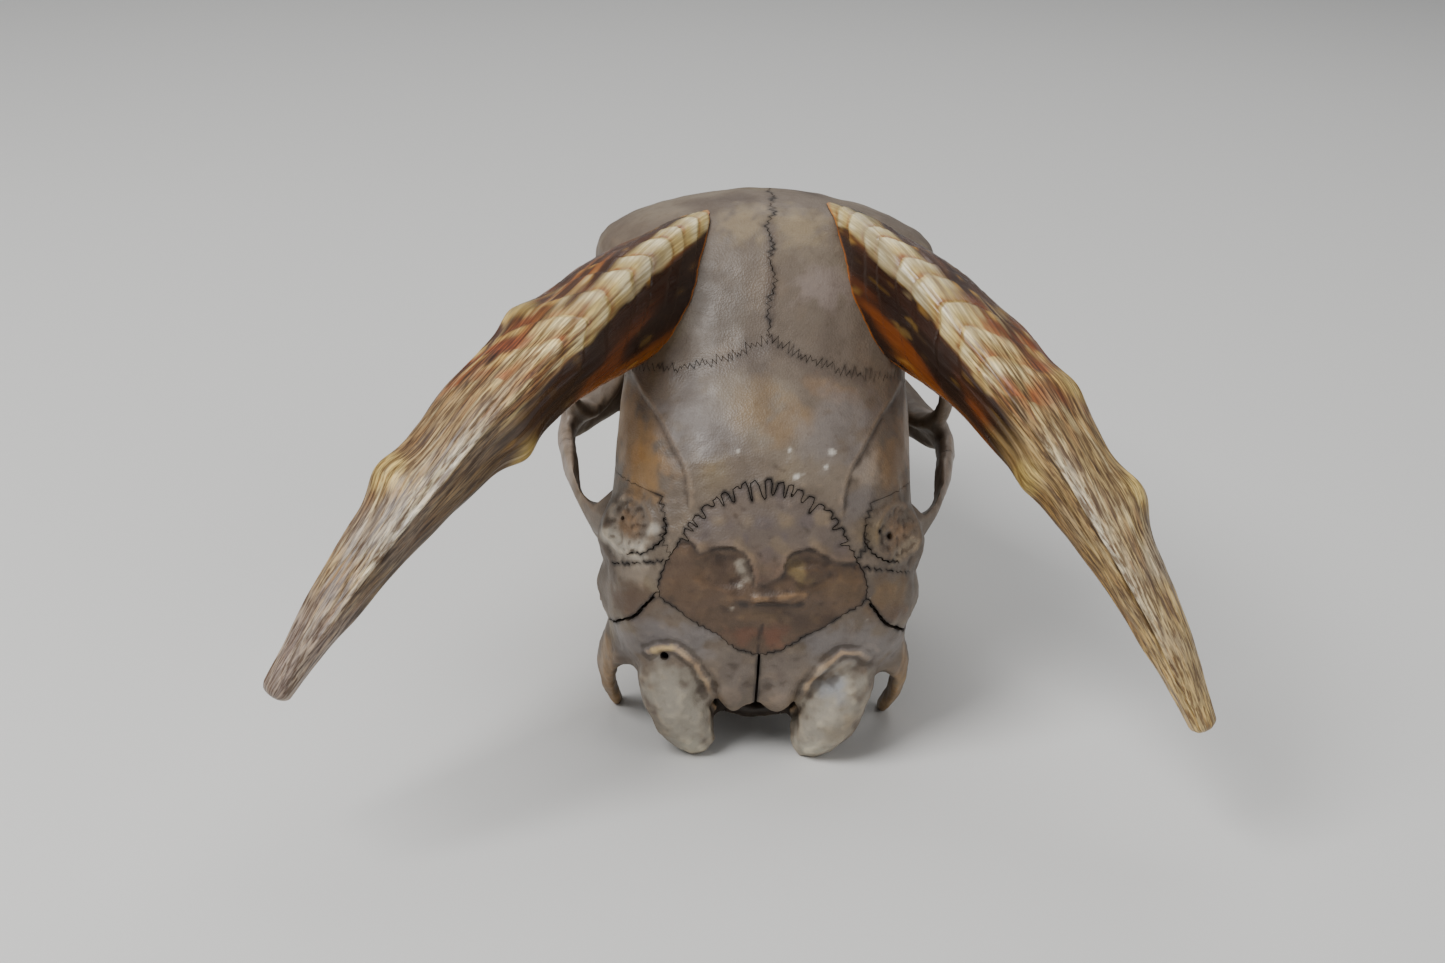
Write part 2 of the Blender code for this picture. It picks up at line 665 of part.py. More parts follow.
def plate_cell(name, outline, push, home, grow=0.0):
    """A closed cell from an outline of inner points, pushed straight outwards and widened by grow."""
    push = Vector(push)
    out = push.normalized()
    points = [Vector(p) for p in outline]
    count = len(points)
    flat = [p - out * p.dot(out) for p in points]
    walls = [(flat[(i + 1) % count] - flat[i]).normalized().cross(out) for i in range(count)]
    turn = sum((flat[i - 1].cross(flat[i])).dot(out) for i in range(count))
    walls = [wall * math.copysign(1.0, turn) for wall in walls]
    depths = [p.dot(out) for p in points]
    sink = grow * (1.0 if max(depths) - min(depths) < LEVEL_FLOOR else SLOPED_FLOOR_GAP)
    bm = bmesh.new()
    near, far = [], []
    for i, p in enumerate(points):
        q = p + mitre(walls[i - 1], walls[i]) * grow - out * sink
        near.append(bm.verts.new(q))
        far.append(bm.verts.new(q + push))
    for i in range(count):
        j = (i + 1) % count
        bm.faces.new((near[i], near[j], far[j], far[i]))
    bm.faces.new(near)
    bm.faces.new(far)
    bm.normal_update()
    bmesh.ops.triangulate(bm, faces=bm.faces)
    return mesh_object(name, bm, home)


# Plate cells: the x or z of each point is where the plate's inner side lies.
ZYGOMATIC = [
    (30, 51, 58.5), (30, 71, 58.5), (29, 75, 44), (27, 84, 41.5), (24, 91, 42), (22, 97, 44),
    (20.5, 103, 38.5), (20.5, 105, 31), (22, 98, 23.5), (26, 86, 26), (29.5, 76, 29), (32, 66, 30),
    (33, 51, 30),
]
LACRIMAL = [
    (19, 92, 67), (17.5, 98, 71), (15.5, 106, 68), (13.5, 114, 61), (13.5, 116, 54), (15.5, 112, 47),
    (18.5, 106, 41), (20.5, 98, 38), (23, 92, 38), (21, 89, 48), (20, 90, 60),
]
NASAL = [
    (MIDLINE, 97, 75), (5, 100, 73), (9.5, 104, 70.5), (13.5, 109, 67), (13.2, 120, 60), (12, 130, 53),
    (10.5, 140, 46.5), (9, 151, 41), (MIDLINE, 151, 41),
]
PREMAXILLA = [
    (MIDLINE, 140, -5), (MIDLINE, 139, 4), (MIDLINE, 134, 13), (MIDLINE, 128.5, 25), (MIDLINE, 124, 37),
    (MIDLINE, 125, 48), (MIDLINE, 134, 46), (MIDLINE, 152, 26), (MIDLINE, 180, 14), (MIDLINE, 180, -5),
]
FRONTAL = [
    (MIDLINE, 30, 114), (MIDLINE, 30, 58), (MIDLINE, 42, 49), (MIDLINE, 60, 47), (MIDLINE, 76, 45.5),
    (MIDLINE, 88, 46.5), (MIDLINE, 97, 56), (MIDLINE, 104, 68), (MIDLINE, 107, 78), (MIDLINE, 107, 114),
]
MAXILLA = [
    (MIDLINE, 56, -16), (MIDLINE, 56, 13), (MIDLINE, 62, 25), (MIDLINE, 71, 36), (MIDLINE, 78, 50),
    (MIDLINE, 92, 56), (MIDLINE, 105, 84), (MIDLINE, 106, 112), (MIDLINE, 165, 112), (MIDLINE, 165, -16),
]
OUTWARDS = (70.0, 0.0, 0.0)
UPWARDS = (0.0, 0.0, 60.0)

# Colours as seen in plain light, and how rough each surface is
BONE = (0.42, 0.36, 0.29)
BROWN_BONE = (0.27, 0.19, 0.13)
HORN_COLOUR = (0.38, 0.24, 0.11)
BONE_ROUGHNESS = 0.62
HORN_ROUGHNESS = 0.45


def inflated(body, by, home):
    """The body's twin, grown outwards by the width of a suture."""
    bm = bmesh.new()
    bm.from_mesh(body.data)
    bm.normal_update()
    for vert, normal in [(v, v.normal.copy()) for v in bm.verts]:
        vert.co += normal * by * min(LARGEST_SHELL_FACTOR, vert.calc_shell_factor())
    return mesh_object(body.name + "_wide", bm, home)


def largest_body(obj):
    """Keeps only the biggest closed surface of the mesh."""
    bm = bmesh.new()
    bm.from_mesh(obj.data)
    seen = set()
    bodies = []
    for face in bm.faces:
        if face in seen:
            continue
        body, queue = [], [face]
        seen.add(face)
        while queue:
            here = queue.pop()
            body.append(here)
            for edge in here.edges:
                for near in edge.link_faces:
                    if near not in seen:
                        seen.add(near)
                        queue.append(near)
        bodies.append(body)
    bodies.sort(key=lambda body: abs(sum(f.calc_area() for f in body)))
    for body in bodies[:-1]:
        bmesh.ops.delete(bm, geom=body, context="FACES")
    loose = [v for v in bm.verts if not v.link_faces]
    bmesh.ops.delete(bm, geom=loose, context="VERTS")
    bm.to_mesh(obj.data)
    bm.free()
    return obj


def copy_of(obj, name, home):
    twin = bpy.data.objects.new(name, obj.data.copy())
    home.objects.link(twin)
    return twin


def carve(rest, name, cell, wide, model):
    """Takes the cell's share out of the rest, leaving a suture's gap round it."""
    piece = boolean(copy_of(rest, name, model), cell, "INTERSECT")
    boolean(rest, wide, "DIFFERENCE")
    return largest_body(piece)


def part_bones(cranium, cells, model):
    """Parts the cranium into its named bones, one cell after another."""
    outlines = [("supraoccipital", "cone", whole(zigzag(SUPRAOCCIPITAL, 0, 5)))]
    for side, suffix in ((1, "_right"), (-1, "_left")):
        turn = (lambda points: points) if side == 1 else mirrored
        outlines.append(("exoccipital" + suffix, "cone", turn(EXOCCIPITAL)))
        outlines.append(("temporal" + suffix, "cone", turn(TEMPORAL)))
    outlines.append(("parietal", "cone", whole(zigzag(PARIETAL, 0, 4))))
    plates = (
        ("zygomatic", ZYGOMATIC, OUTWARDS),
        ("lacrimal", LACRIMAL, OUTWARDS),
        ("nasal", NASAL, UPWARDS),
        ("premaxilla", PREMAXILLA, OUTWARDS),
        ("frontal", FRONTAL, OUTWARDS),
        ("maxilla", MAXILLA, OUTWARDS),
    )
    for name, outline, push in plates:
        outlines.append((name + "_right", push, outline))
        outlines.append((name + "_left", (-push[0], push[1], push[2]), mirrored(outline)))
    bones = []
    grows = (0.0, SUTURE_GAP)
    for name, kind, outline in outlines:
        if kind == "cone":
            pair = [cone_cell(name + "_cell", outline, cells, grow) for grow in grows]
        else:
            pair = [plate_cell(name + "_cell", outline, kind, cells, grow) for grow in grows]
        bones.append(carve(cranium, name, *pair, model))
    cranium.name = "skull_base"
    bones.append(largest_body(cranium))
    return bones


def thin_to(obj, triangles):
    modifier = obj.modifiers.new("thin", "DECIMATE")
    modifier.ratio = triangles / max(1, 2 * len(obj.data.polygons))
    modifier.use_collapse_triangulate = True
    return evaluated(obj)


def finish(obj, colour, roughness):
    """Gives a finished solid its material and smooth shading."""
    material = bpy.data.materials.new(obj.name)
    material.use_nodes = True
    shader = material.node_tree.nodes["Principled BSDF"]
    shader.inputs["Base Color"].default_value = (*colour, 1.0)
    shader.inputs["Roughness"].default_value = roughness
    shader.inputs["Metallic"].default_value = 0.0
    obj.data.materials.clear()
    obj.data.materials.append(material)
    obj.data.shade_smooth()
    obj.data.set_sharp_from_angle(angle=SHARP_EDGE)


def settle(objects):
    """Tips the skull back to rest, planes small flats where it stands, and centres it in metres."""
    tip = Matrix.Rotation(FLOOR_PITCH, 4, "X")
    for obj in objects:
        obj.data.transform(tip)
    spots = np.array([tuple(v.co) for obj in objects for v in obj.data.vertices])
    low, high = spots.min(axis=0), spots.max(axis=0)
    floor = low[2] + FLOOR_CUT
    for obj in objects:
        plane_foot(obj, floor)
    middle = 0.5 * (low + high)
    shift = Matrix.Translation((-middle[0], -middle[1], -floor))
    for obj in objects:
        obj.data.transform(Matrix.Scale(MM, 4) @ shift)
    return Matrix.Scale(MM, 4) @ shift @ tip


def plane_foot(obj, floor):
    """Cuts off what lies under the floor's level and closes the cut with a flat."""
    bm = bmesh.new()
    bm.from_mesh(obj.data)
    everything = bm.verts[:] + bm.edges[:] + bm.faces[:]
    cut = bmesh.ops.bisect_plane(
        bm, geom=everything, dist=1e-5, plane_co=(0, 0, floor), plane_no=(0, 0, -1), clear_outer=True
    )
    rims = [item for item in cut["geom_cut"] if isinstance(item, bmesh.types.BMEdge)]
    if rims:
        bmesh.ops.triangle_fill(bm, edges=rims, use_beauty=True)
        bmesh.ops.recalc_face_normals(bm, faces=bm.faces)
    bm.to_mesh(obj.data)
    bm.free()


def main():
    clear_scene()
    model = collection_named("goat_skull")
    masses = collection_named("masses")
    hollows = collection_named("hollows", hidden=True)
    cells = collection_named("cells", hidden=True)
    add_cranium_masses(masses)
    add_orbits_and_arches(masses)
    add_base_masses(masses)
    cranium = remesh(joined("cranium", masses, model), VOXEL)
    add_cutters(hollows)
    cutter = joined("hollow", hollows, hollows)
    remesh(cutter, VOXEL)
    boolean(cranium, cutter, "DIFFERENCE")
    remesh(cranium, VOXEL)
    smooth(cranium, SOFTENING_ROUNDS)
    thin_to(cranium, CRANIUM_TRIANGLES)
    largest_body(cranium)
    tooth_row(masses)
    for tooth in list(masses.objects):
        boolean(cranium, tooth, "UNION")
        bpy.data.objects.remove(tooth, do_unlink=True)
    cleared = inflated(cranium, SUTURE_GAP, hollows)
    horns = []
    for name, spec in HORNS.items():
        sheath = horn(name, spec, model)
        boolean(sheath, cleared, "DIFFERENCE")
        horns.append(largest_body(sheath))
    bones = part_bones(cranium, cells, model)
    settled = settle(bones + horns)
    for home in (masses, hollows, cells):
        for obj in list(home.objects):
            bpy.data.objects.remove(obj, do_unlink=True)
    for obj in bones:
        finish(obj, BROWN_BONE if obj.name == "supraoccipital" else BONE, BONE_ROUGHNESS)
    for obj in horns:
        finish(obj, HORN_COLOUR, HORN_ROUGHNESS)
    return settled


if __name__ == "__main__":
    main()
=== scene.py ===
"""Finishes the goat skull on its CAD frame: sutured bones, cheek teeth, ringed horn sheaths, stage.

The skull's own frame is in millimetres: X to the animal's right, Y towards the nose from
the rear of the condyles, Z up from the tooth sockets. TO_WORLD takes it to the frame's metres.
"""

import json
import math

import bmesh
import bpy
import numpy as np
from bpy.props import FloatProperty, FloatVectorProperty, IntProperty, PointerProperty
from mathutils import Matrix, Vector
from mathutils.kdtree import KDTree

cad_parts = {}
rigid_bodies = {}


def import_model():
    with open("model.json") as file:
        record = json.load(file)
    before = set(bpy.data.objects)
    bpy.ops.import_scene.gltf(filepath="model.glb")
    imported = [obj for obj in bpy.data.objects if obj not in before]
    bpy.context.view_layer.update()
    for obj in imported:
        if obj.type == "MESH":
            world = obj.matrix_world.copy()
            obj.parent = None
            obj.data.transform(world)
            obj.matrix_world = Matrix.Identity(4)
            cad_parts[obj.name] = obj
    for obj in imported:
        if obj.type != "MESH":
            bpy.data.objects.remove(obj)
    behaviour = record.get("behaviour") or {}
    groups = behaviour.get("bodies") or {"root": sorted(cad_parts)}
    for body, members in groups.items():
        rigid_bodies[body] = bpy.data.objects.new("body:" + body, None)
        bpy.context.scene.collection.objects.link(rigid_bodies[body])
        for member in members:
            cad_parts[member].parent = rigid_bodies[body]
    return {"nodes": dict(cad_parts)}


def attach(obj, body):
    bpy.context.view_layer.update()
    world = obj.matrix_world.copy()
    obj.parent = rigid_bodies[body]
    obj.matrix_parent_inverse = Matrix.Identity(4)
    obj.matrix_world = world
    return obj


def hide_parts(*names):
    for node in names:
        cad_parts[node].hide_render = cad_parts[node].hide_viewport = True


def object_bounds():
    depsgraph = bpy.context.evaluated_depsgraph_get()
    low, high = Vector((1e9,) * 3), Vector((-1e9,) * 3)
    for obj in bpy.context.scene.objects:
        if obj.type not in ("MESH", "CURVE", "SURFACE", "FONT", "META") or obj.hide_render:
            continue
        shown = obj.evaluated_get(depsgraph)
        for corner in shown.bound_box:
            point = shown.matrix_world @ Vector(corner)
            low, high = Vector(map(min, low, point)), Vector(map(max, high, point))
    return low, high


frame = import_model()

bl_info = {
    "name": "Goat skull",
    "version": (1, 0, 0),
    "blender": (4, 5, 0),
    "location": "3D View > Sidebar > Goat skull",
    "description": "Finishes the bones, cheek teeth and horn sheaths of a young goat's skull",
    "category": "Object",
}

CAD_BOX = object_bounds()
BODY = "root"
SMOOTH_ANGLE = math.radians(42)
# How far each round of smoothing moves the points towards their neighbours and back
EASE_IN = 0.5
EASE_BACK = -0.53

MM = 0.001
REST_PITCH = math.radians(20.3)
SKULL_ORIGIN = Vector((0.002766, -0.052505, -0.012398))
TO_WORLD = Matrix.Translation(SKULL_ORIGIN) @ Matrix.Rotation(REST_PITCH, 4, "X") @ Matrix.Scale(MM, 4)

BONES = [name for name in frame["nodes"] if not name.startswith("horn")]


# Small tools


def select_only(*objects):
    for obj in bpy.context.view_layer.objects:
        obj.select_set(False)
    for obj in objects:
        obj.select_set(True)
    bpy.context.view_layer.objects.active = objects[0]


def discard(*objects):
    for obj in objects:
        bpy.data.objects.remove(obj, do_unlink=True)


def new_object(name, data):
    obj = bpy.data.objects.new(name, data)
    bpy.context.scene.collection.objects.link(obj)
    return obj


def modified(obj, kind, **settings):
    """Adds one modifier with its settings and applies it."""
    select_only(obj)
    modifier = obj.modifiers.new(kind.lower(), kind)
    for key, value in settings.items():
        setattr(modifier, key, value)
    bpy.ops.object.modifier_apply(modifier=modifier.name)
    return obj


def cut(obj, cutter, operation):
    return modified(obj, "BOOLEAN", operation=operation, solver="MANIFOLD", object=cutter)


def edited(obj, tool, **settings):
    """Runs one edit mode tool on the whole mesh."""
    select_only(obj)
    bpy.ops.object.mode_set(mode="EDIT")
    bpy.ops.mesh.select_all(action="SELECT")
    tool(**settings)
    bpy.ops.object.mode_set(mode="OBJECT")


def faces_outward(obj):
    edited(obj, bpy.ops.mesh.normals_make_consistent, inside=False)


def box(size, place):
    bpy.ops.mesh.primitive_cube_add(size=1.0, location=place)
    made = bpy.context.object
    made.scale = size
    bpy.ops.object.transform_apply(location=True, rotation=True, scale=True)
    return made


def ringed_ball(segments, rings):
    """A sphere, with each point's share of the way from pole to pole and its angle round."""
    bpy.ops.mesh.primitive_uv_sphere_add(segments=segments, ring_count=rings, radius=1.0)
    ball = bpy.context.object
    x, y, z = points_of(ball.data).T
    return ball, np.arccos(np.clip(z, -1, 1)) / math.pi, np.arctan2(y, x)


def tube(bm, rings):
    """Joins rings of points into a tube and closes both its ends."""
    made = [[bm.verts.new(p) for p in ring] for ring in rings]
    for low, high in zip(made, made[1:]):
        for i in range(len(low)):
            j = (i + 1) % len(low)
            bm.faces.new((low[i], low[j], high[j], high[i]))
    bm.faces.new(made[0])
    bm.faces.new(made[-1])


def closed_mesh(name, bm):
    bm.normal_update()
    bmesh.ops.triangulate(bm, faces=bm.faces)
    bmesh.ops.recalc_face_normals(bm, faces=bm.faces)
    mesh = bpy.data.meshes.new(name)
    bm.to_mesh(mesh)
    bm.free()
    return new_object(name, mesh)


def values_of(rows, key, width, kind=np.float32):
    flat = np.empty(len(rows) * width, kind)
    rows.foreach_get(key, flat)
    return flat.reshape(-1, width)


def points_of(mesh):
    return values_of(mesh.vertices, "co", 3).astype(float)


def normals_of(mesh):
    return values_of(mesh.vertex_normals, "vector", 3).astype(float)


def edges_of(mesh):
    return values_of(mesh.edges, "vertices", 2, np.int32)


def set_points(mesh, points):
    mesh.vertices.foreach_set("co", np.asarray(points, np.float32).ravel())
    mesh.update()


def set_values(mesh, name, values):
    """Writes one number or one vector a vertex as the mesh's own attribute."""
    kind = "FLOAT" if values.ndim == 1 else "FLOAT_VECTOR"
    layer = mesh.attributes.new(name, kind, "POINT")
    layer.data.foreach_set("value" if kind == "FLOAT" else "vector", np.asarray(values, np.float32).ravel())


def tree_of(points):
    tree = KDTree(len(points))
    for i, p in enumerate(points):
        tree.insert(p, i)
    tree.balance()
    return tree


def nearest(tree, points):
    """For each point, the index of the nearest tree point and how far it is."""
    found = [tree.find(p) for p in points]
    return np.array([f[1] for f in found]), np.array([f[2] for f in found])


def swells(points, size, seed, waves=22):
    """Soft random relief between about -1 and 1 whose bumps are about size apart."""
    rng = np.random.default_rng(seed)
    ways = rng.normal(size=(waves, 3))
    ways /= np.linalg.norm(ways, axis=1)[:, None]
    ways *= 2 * math.pi / (size * rng.uniform(0.7, 1.6, waves))[:, None]
    phases = rng.uniform(0, 2 * math.pi, waves)
    total = np.zeros(len(points))
    for way, phase in zip(ways, phases):
        total += np.cos(points @ way + phase)
    return total / math.sqrt(waves)


def eased(points, edges, rounds, grow=EASE_BACK):
    """Smooths the surface without letting it shrink."""
    ends = np.concatenate([edges[:, 0], edges[:, 1]])
    others = np.concatenate([edges[:, 1], edges[:, 0]])
    count = np.bincount(ends, minlength=len(points))[:, None]
    for _ in range(rounds):
        for factor in (EASE_IN, grow):
            near = points[others]
            mean = np.stack([np.bincount(ends, near[:, i], len(points)) for i in range(3)], axis=1) / count
            points = points + factor * (mean - points)
    return points


def smooth_points(points, count):
    """A Catmull-Rom curve through the points, sampled evenly in its parameter."""
    knots = np.array([tuple(p) for p in points], float)
    spans = len(knots) - 1
    out = []
    for t in np.linspace(0, spans, count):
        i = min(int(t), spans - 1)
        u = t - i
        b, c = knots[i], knots[i + 1]
        a = knots[i - 1] if i else 2 * b - c
        d = knots[i + 2] if i + 2 <= spans else 2 * c - b
        curve = (2 * a - 5 * b + 4 * c - d) * u**2 + (3 * b - a - 3 * c + d) * u**3
        out.append(0.5 * (2 * b + (c - a) * u + curve))
    return np.array(out)


def from_path(points, path):
    """Distance of each point from a broken line."""
    best = np.full(len(points), 1e9)
    for p, q in zip(path[:-1], path[1:]):
        p, q = np.array(p, float), np.array(q, float)
        along = np.clip((points - p) @ (q - p) / max(1e-9, (q - p) @ (q - p)), 0, 1)
        best = np.minimum(best, np.linalg.norm(points - p - along[:, None] * (q - p), axis=1))
    return best


def soft_step(values, low, high):
    u = np.clip((values - low) / (high - low), 0, 1)
    return u * u * (3 - 2 * u)


def linear(colour):
    """A colour as linear RGB, from an sRGB hex code or from values that are linear already."""
    if not isinstance(colour, str):
        return np.array(colour)
    channels = [int(colour[i:i + 2], 16) / 255 for i in (1, 3, 5)]
    return np.array([c / 12.92 if c <= 0.04045 else ((c + 0.055) / 1.055) ** 2.4 for c in channels])


def plain(colour, count):
    return np.tile(linear(colour), (count, 1))


def laid_over(tint, *layers):
    """The painted colours with more colours laid over them in turn, each where its weight says."""
    for colour, weight in layers:
        weight = np.clip(weight, 0, 1)[:, None]
        tint = tint * (1 - weight) + linear(colour) * weight
    return tint


# Sutures: the outlines that part the bones, in the skull's frame. Cone cells spread from
# CORE through an outline on the surface, plate cells are outlines pushed along one axis.

CORE = Vector((0.0, 36.0, 50.0))
CONE_REACH = 95.0
SHARPEST_CORNER = 0.25
# How far inside its outline a plate cell starts, as a share of its widening
PLATE_START = 1.6

SUPRAOCCIPITAL = [
    (0, 16.8, 72.7), (4.5, 16.2, 72.0), (8.6, 14.9, 70.3), (12.3, 13.4, 68.0), (14.8, 11.7, 65.2),
    (16.3, 10.0, 62.0), (19.4, 8.0, 57.5), (20.3, 6.8, 53.0), (19.6, 5.9, 50.8), (16.4, 4.6, 49.0),
    (12.8, 3.5, 46.8), (8.2, 2.6, 44.2), (4.4, 1.9, 41.3), (0, 1.5, 39.7),
]
EXOCCIPITAL = [
    (0, 1.5, 46.0), (14, 4, 53), (20.6, 6.4, 51.5), (24.5, 6.0, 45.5), (29.2, 10.5, 38.8),
    (33.0, 15.0, 34.5), (35.5, 21.5, 27.0), (34.0, 23.5, 17.0), (31.5, 23.5, 6.0), (26.0, 21.5, 0.0),
    (20.0, 17.5, 6.0), (15.5, 17.5, 10.0), (7.2, 12.0, 11.0), (6.2, 4.0, 12.5), (3.0, 1.0, 17.0),
    (0, 1.0, 17.0),
]
TEMPORAL = [
    (20.5, 17.0, 67.5), (19.2, 13.2, 64.8), (20.2, 10.8, 61.4), (14.0, 9.0, 56.5), (17.0, 7.0, 53.0),
    (22.0, 3.0, 44.0), (32.0, 8.0, 32.0), (33.0, 12.0, 14.0), (27.0, 20.0, -2.0), (11.0, 20.0, 3.0),
    (11.0, 40.0, 6.0), (20.0, 45.0, 10.0), (33.0, 48.0, 22.0), (46.0, 57.0, 31.0), (47.0, 58.0, 43.0),
    (30.0, 51.0, 55.5), (30.5, 30.0, 62.0), (27.0, 20.0, 67.5),
]
PARIETAL = [
    (0, 41.2, 87.0), (6.0, 38.6, 85.3), (12.0, 37.2, 83.5), (18.0, 37.6, 81.7), (23.0, 40.0, 79.5),
    (27.0, 44.0, 74.5), (28.5, 49.0, 66.0), (28.5, 53.0, 58.0), (30.0, 50.0, 50.0), (33.0, 20.0, 54.0),
    (22.0, 5.0, 56.0), (10.0, 1.0, 58.0), (0, 0.0, 58.0),
]
ZYGOMATIC = [
    (30, 51, 58.5), (30, 71, 58.5), (29, 75, 44), (27, 84, 41.5), (24, 91, 42), (22, 97, 44),
    (20.5, 103, 38.5), (20.5, 105, 31), (22, 98, 23.5), (26, 86, 26), (29.5, 76, 29), (32, 66, 30),
    (33, 51, 30),
]
LACRIMAL = [
    (19, 92, 67), (17.5, 98, 71), (15.5, 106, 68), (13.5, 114, 61), (13.5, 116, 54), (15.5, 112, 47),
    (18.5, 106, 41), (20.5, 98, 38), (23, 92, 38), (21, 89, 48), (20, 90, 60),
]
NASAL = [
    (0, 97, 75), (5, 100, 73), (9.5, 104, 70.5), (13.5, 109, 67), (13.2, 120, 60), (12, 130, 53),
    (10.5, 140, 46.5), (9, 151, 41), (0, 151, 41),
]
# Outlines of cells that take in both sides stand this far to the left
WIDE = -70.0
PREMAXILLA = [
    (WIDE, 140, -5), (WIDE, 139, 4), (WIDE, 134, 13), (WIDE, 128.5, 25), (WIDE, 124, 37),
    (WIDE, 125, 48), (WIDE, 134, 46), (WIDE, 152, 26), (WIDE, 180, 14), (WIDE, 180, -5),
]
FRONTAL = [
    (WIDE, 30, 114), (WIDE, 30, 58), (WIDE, 42, 49), (WIDE, 60, 47), (WIDE, 76, 45.5),
    (WIDE, 88, 46.5), (WIDE, 97, 56), (WIDE, 104, 68), (WIDE, 107, 78), (WIDE, 107, 114),
]
MAXILLA = [
    (WIDE, 56, -16), (WIDE, 56, 13), (WIDE, 62, 25), (WIDE, 71, 36), (WIDE, 78, 50),
    (WIDE, 92, 56), (WIDE, 105, 84), (WIDE, 106, 112), (WIDE, 165, 112), (WIDE, 165, -16),
]


def mirrored(points):
    return [(-p[0], p[1], p[2]) for p in points]


def whole(half):
    """A midline outline made from its right half, which starts and ends at x = 0."""
    return half + mirrored(half[-2:0:-1])


# Each bone in the order it is cut out: its outline, the push that makes its cell or none for a
# cone, whether one cell takes in both sides, how wide its sutures stand open, and its jagged
# stretches: first and last segment, how far the fingers reach and how far apart they are
PARTED = {
    "supraoccipital": (whole(SUPRAOCCIPITAL), None, True, 0.16, [(0, 5, 2.4, 2.3), (5, 13, 0.25, 1.6)]),
    "exoccipital": (EXOCCIPITAL, None, False, 0.18, [(0, 15, 0.15, 2.6)]),
    "temporal": (TEMPORAL, None, False, 0.09, [(0, 3, 0.7, 1.5), (3, 17, 0.22, 2.2)]),
    "parietal": (whole(PARIETAL), None, True, 0.11, [(0, 5, 1.0, 1.1), (5, 12, 0.25, 2.0)]),
    "zygomatic": (ZYGOMATIC, (70, 0, 0), False, 0.12, [(0, 12, 0.35, 1.8)]),
    "lacrimal": (LACRIMAL, (70, 0, 0), False, 0.12, [(0, 10, 0.3, 1.6)]),
    "nasal": (whole(NASAL), (0, 0, 60), True, 0.14, [(0, 7, 0.3, 1.6)]),
    "premaxilla": (PREMAXILLA, (140, 0, 0), True, 0.14, [(0, 6, 0.3, 2.0)]),
    "frontal": (FRONTAL, (140, 0, 0), True, 0.12, [(0, 9, 0.4, 1.8)]),
    "maxilla": (MAXILLA, (140, 0, 0), True, 0.14, [(1, 8, 0.4, 1.8)]),
}
# The wall between both sides: its width, its rear and front end, the step of its zigzag, its lower
# and upper edge, and how far it wanders at which places
MIDLINE_WIDTH = 0.15
MIDLINE_SPAN = (24.0, 184.0, 0.55)
MIDLINE_HEIGHTS = (-30.0, 130.0)
MIDLINE_REACH = ((30, 44, 92, 100, 184), (0.4, 0.85, 0.75, 0.1, 0.05))
# The straight open slit between the exoccipitals: its size and place
OCCIPUT_SLIT = ((0.5, 34, 60), (0, 8, 32))
BOTH_SIDES = (("_right", 1), ("_left", -1))
LONG_FINGER = 1.5
FINGER_SIZES = (0.25, 0.5, 0.8, 1.0, 1.35)
# Long fingers: how full they start, how much shorter each segment's are, how far they lean
# sideways, and how rough their edges are
FINGER_START = 1.15
FINGER_TAPER = 0.13
FINGER_LEAN = 0.14
FINGER_ROUGHNESS = 0.06
# A long finger's outline: share of the pitch, share of its reach
FINGER_SHAPE = (
    (0.0, 0.02), (0.22, -0.06), (0.36, 0.22), (0.40, 0.8),
    (0.52, 1.0), (0.66, 0.92), (0.76, 0.5), (0.84, 0.08),
)


def jagged(name, points, push, stretches, folded):
    """The outline with its sutures broken into uneven interlocking fingers."""
    rng = np.random.default_rng(sum(ord(c) for c in name))
    total = len(points)
    inside = sum((Vector(p) for p in points), Vector()) / total
    out = []
    for k, p in enumerate(points):
        p = Vector(p)
        q = Vector(points[(k + 1) % total])
        out.append(p)
        segment = min(k, total - 1 - k) if folded else k
        style = [s for s in stretches if s[0] <= segment < s[1]]
        if not style:
            continue
        reach, pitch = style[0][2:]
        normal = Vector(push) if push else p - CORE
        aside = (q - p).cross(normal).normalized()
        if aside.dot(inside - p) < 0:
            aside = -aside
        length = (q - p).length
        if reach > LONG_FINGER:
            count = max(1, round(length / pitch))
            stops = np.cumsum([0.0, *rng.uniform(0.6, 1.4, count)])
            for i in range(count):
                deep = reach * rng.choice(FINGER_SIZES) * (FINGER_START - FINGER_TAPER * segment)
                lean = rng.uniform(-FINGER_LEAN, FINGER_LEAN)
                for share, depth in FINGER_SHAPE[(0 if i else 1):]:
                    place = (stops[i] + (stops[i + 1] - stops[i]) * (share + lean * depth)) / stops[-1]
                    rough = rng.uniform(-FINGER_ROUGHNESS, FINGER_ROUGHNESS)
                    out.append(p.lerp(q, place) + aside * (deep * depth + rough))
            continue
        count = max(1, round(length / pitch * 2))
        for i in range(count):
            place = (i + 0.5 + rng.uniform(-0.3, 0.3)) / count
            sign = 1 if (i + k) % 2 else -1
            out.append(p.lerp(q, place) + aside * sign * reach * rng.uniform(0.15, 1.2))
    return out


def mitre(before, after):
    """Shift of a corner that moves both of its walls outwards by one unit."""
    return (before + after) / max(SHARPEST_CORNER, 1.0 + before.dot(after))


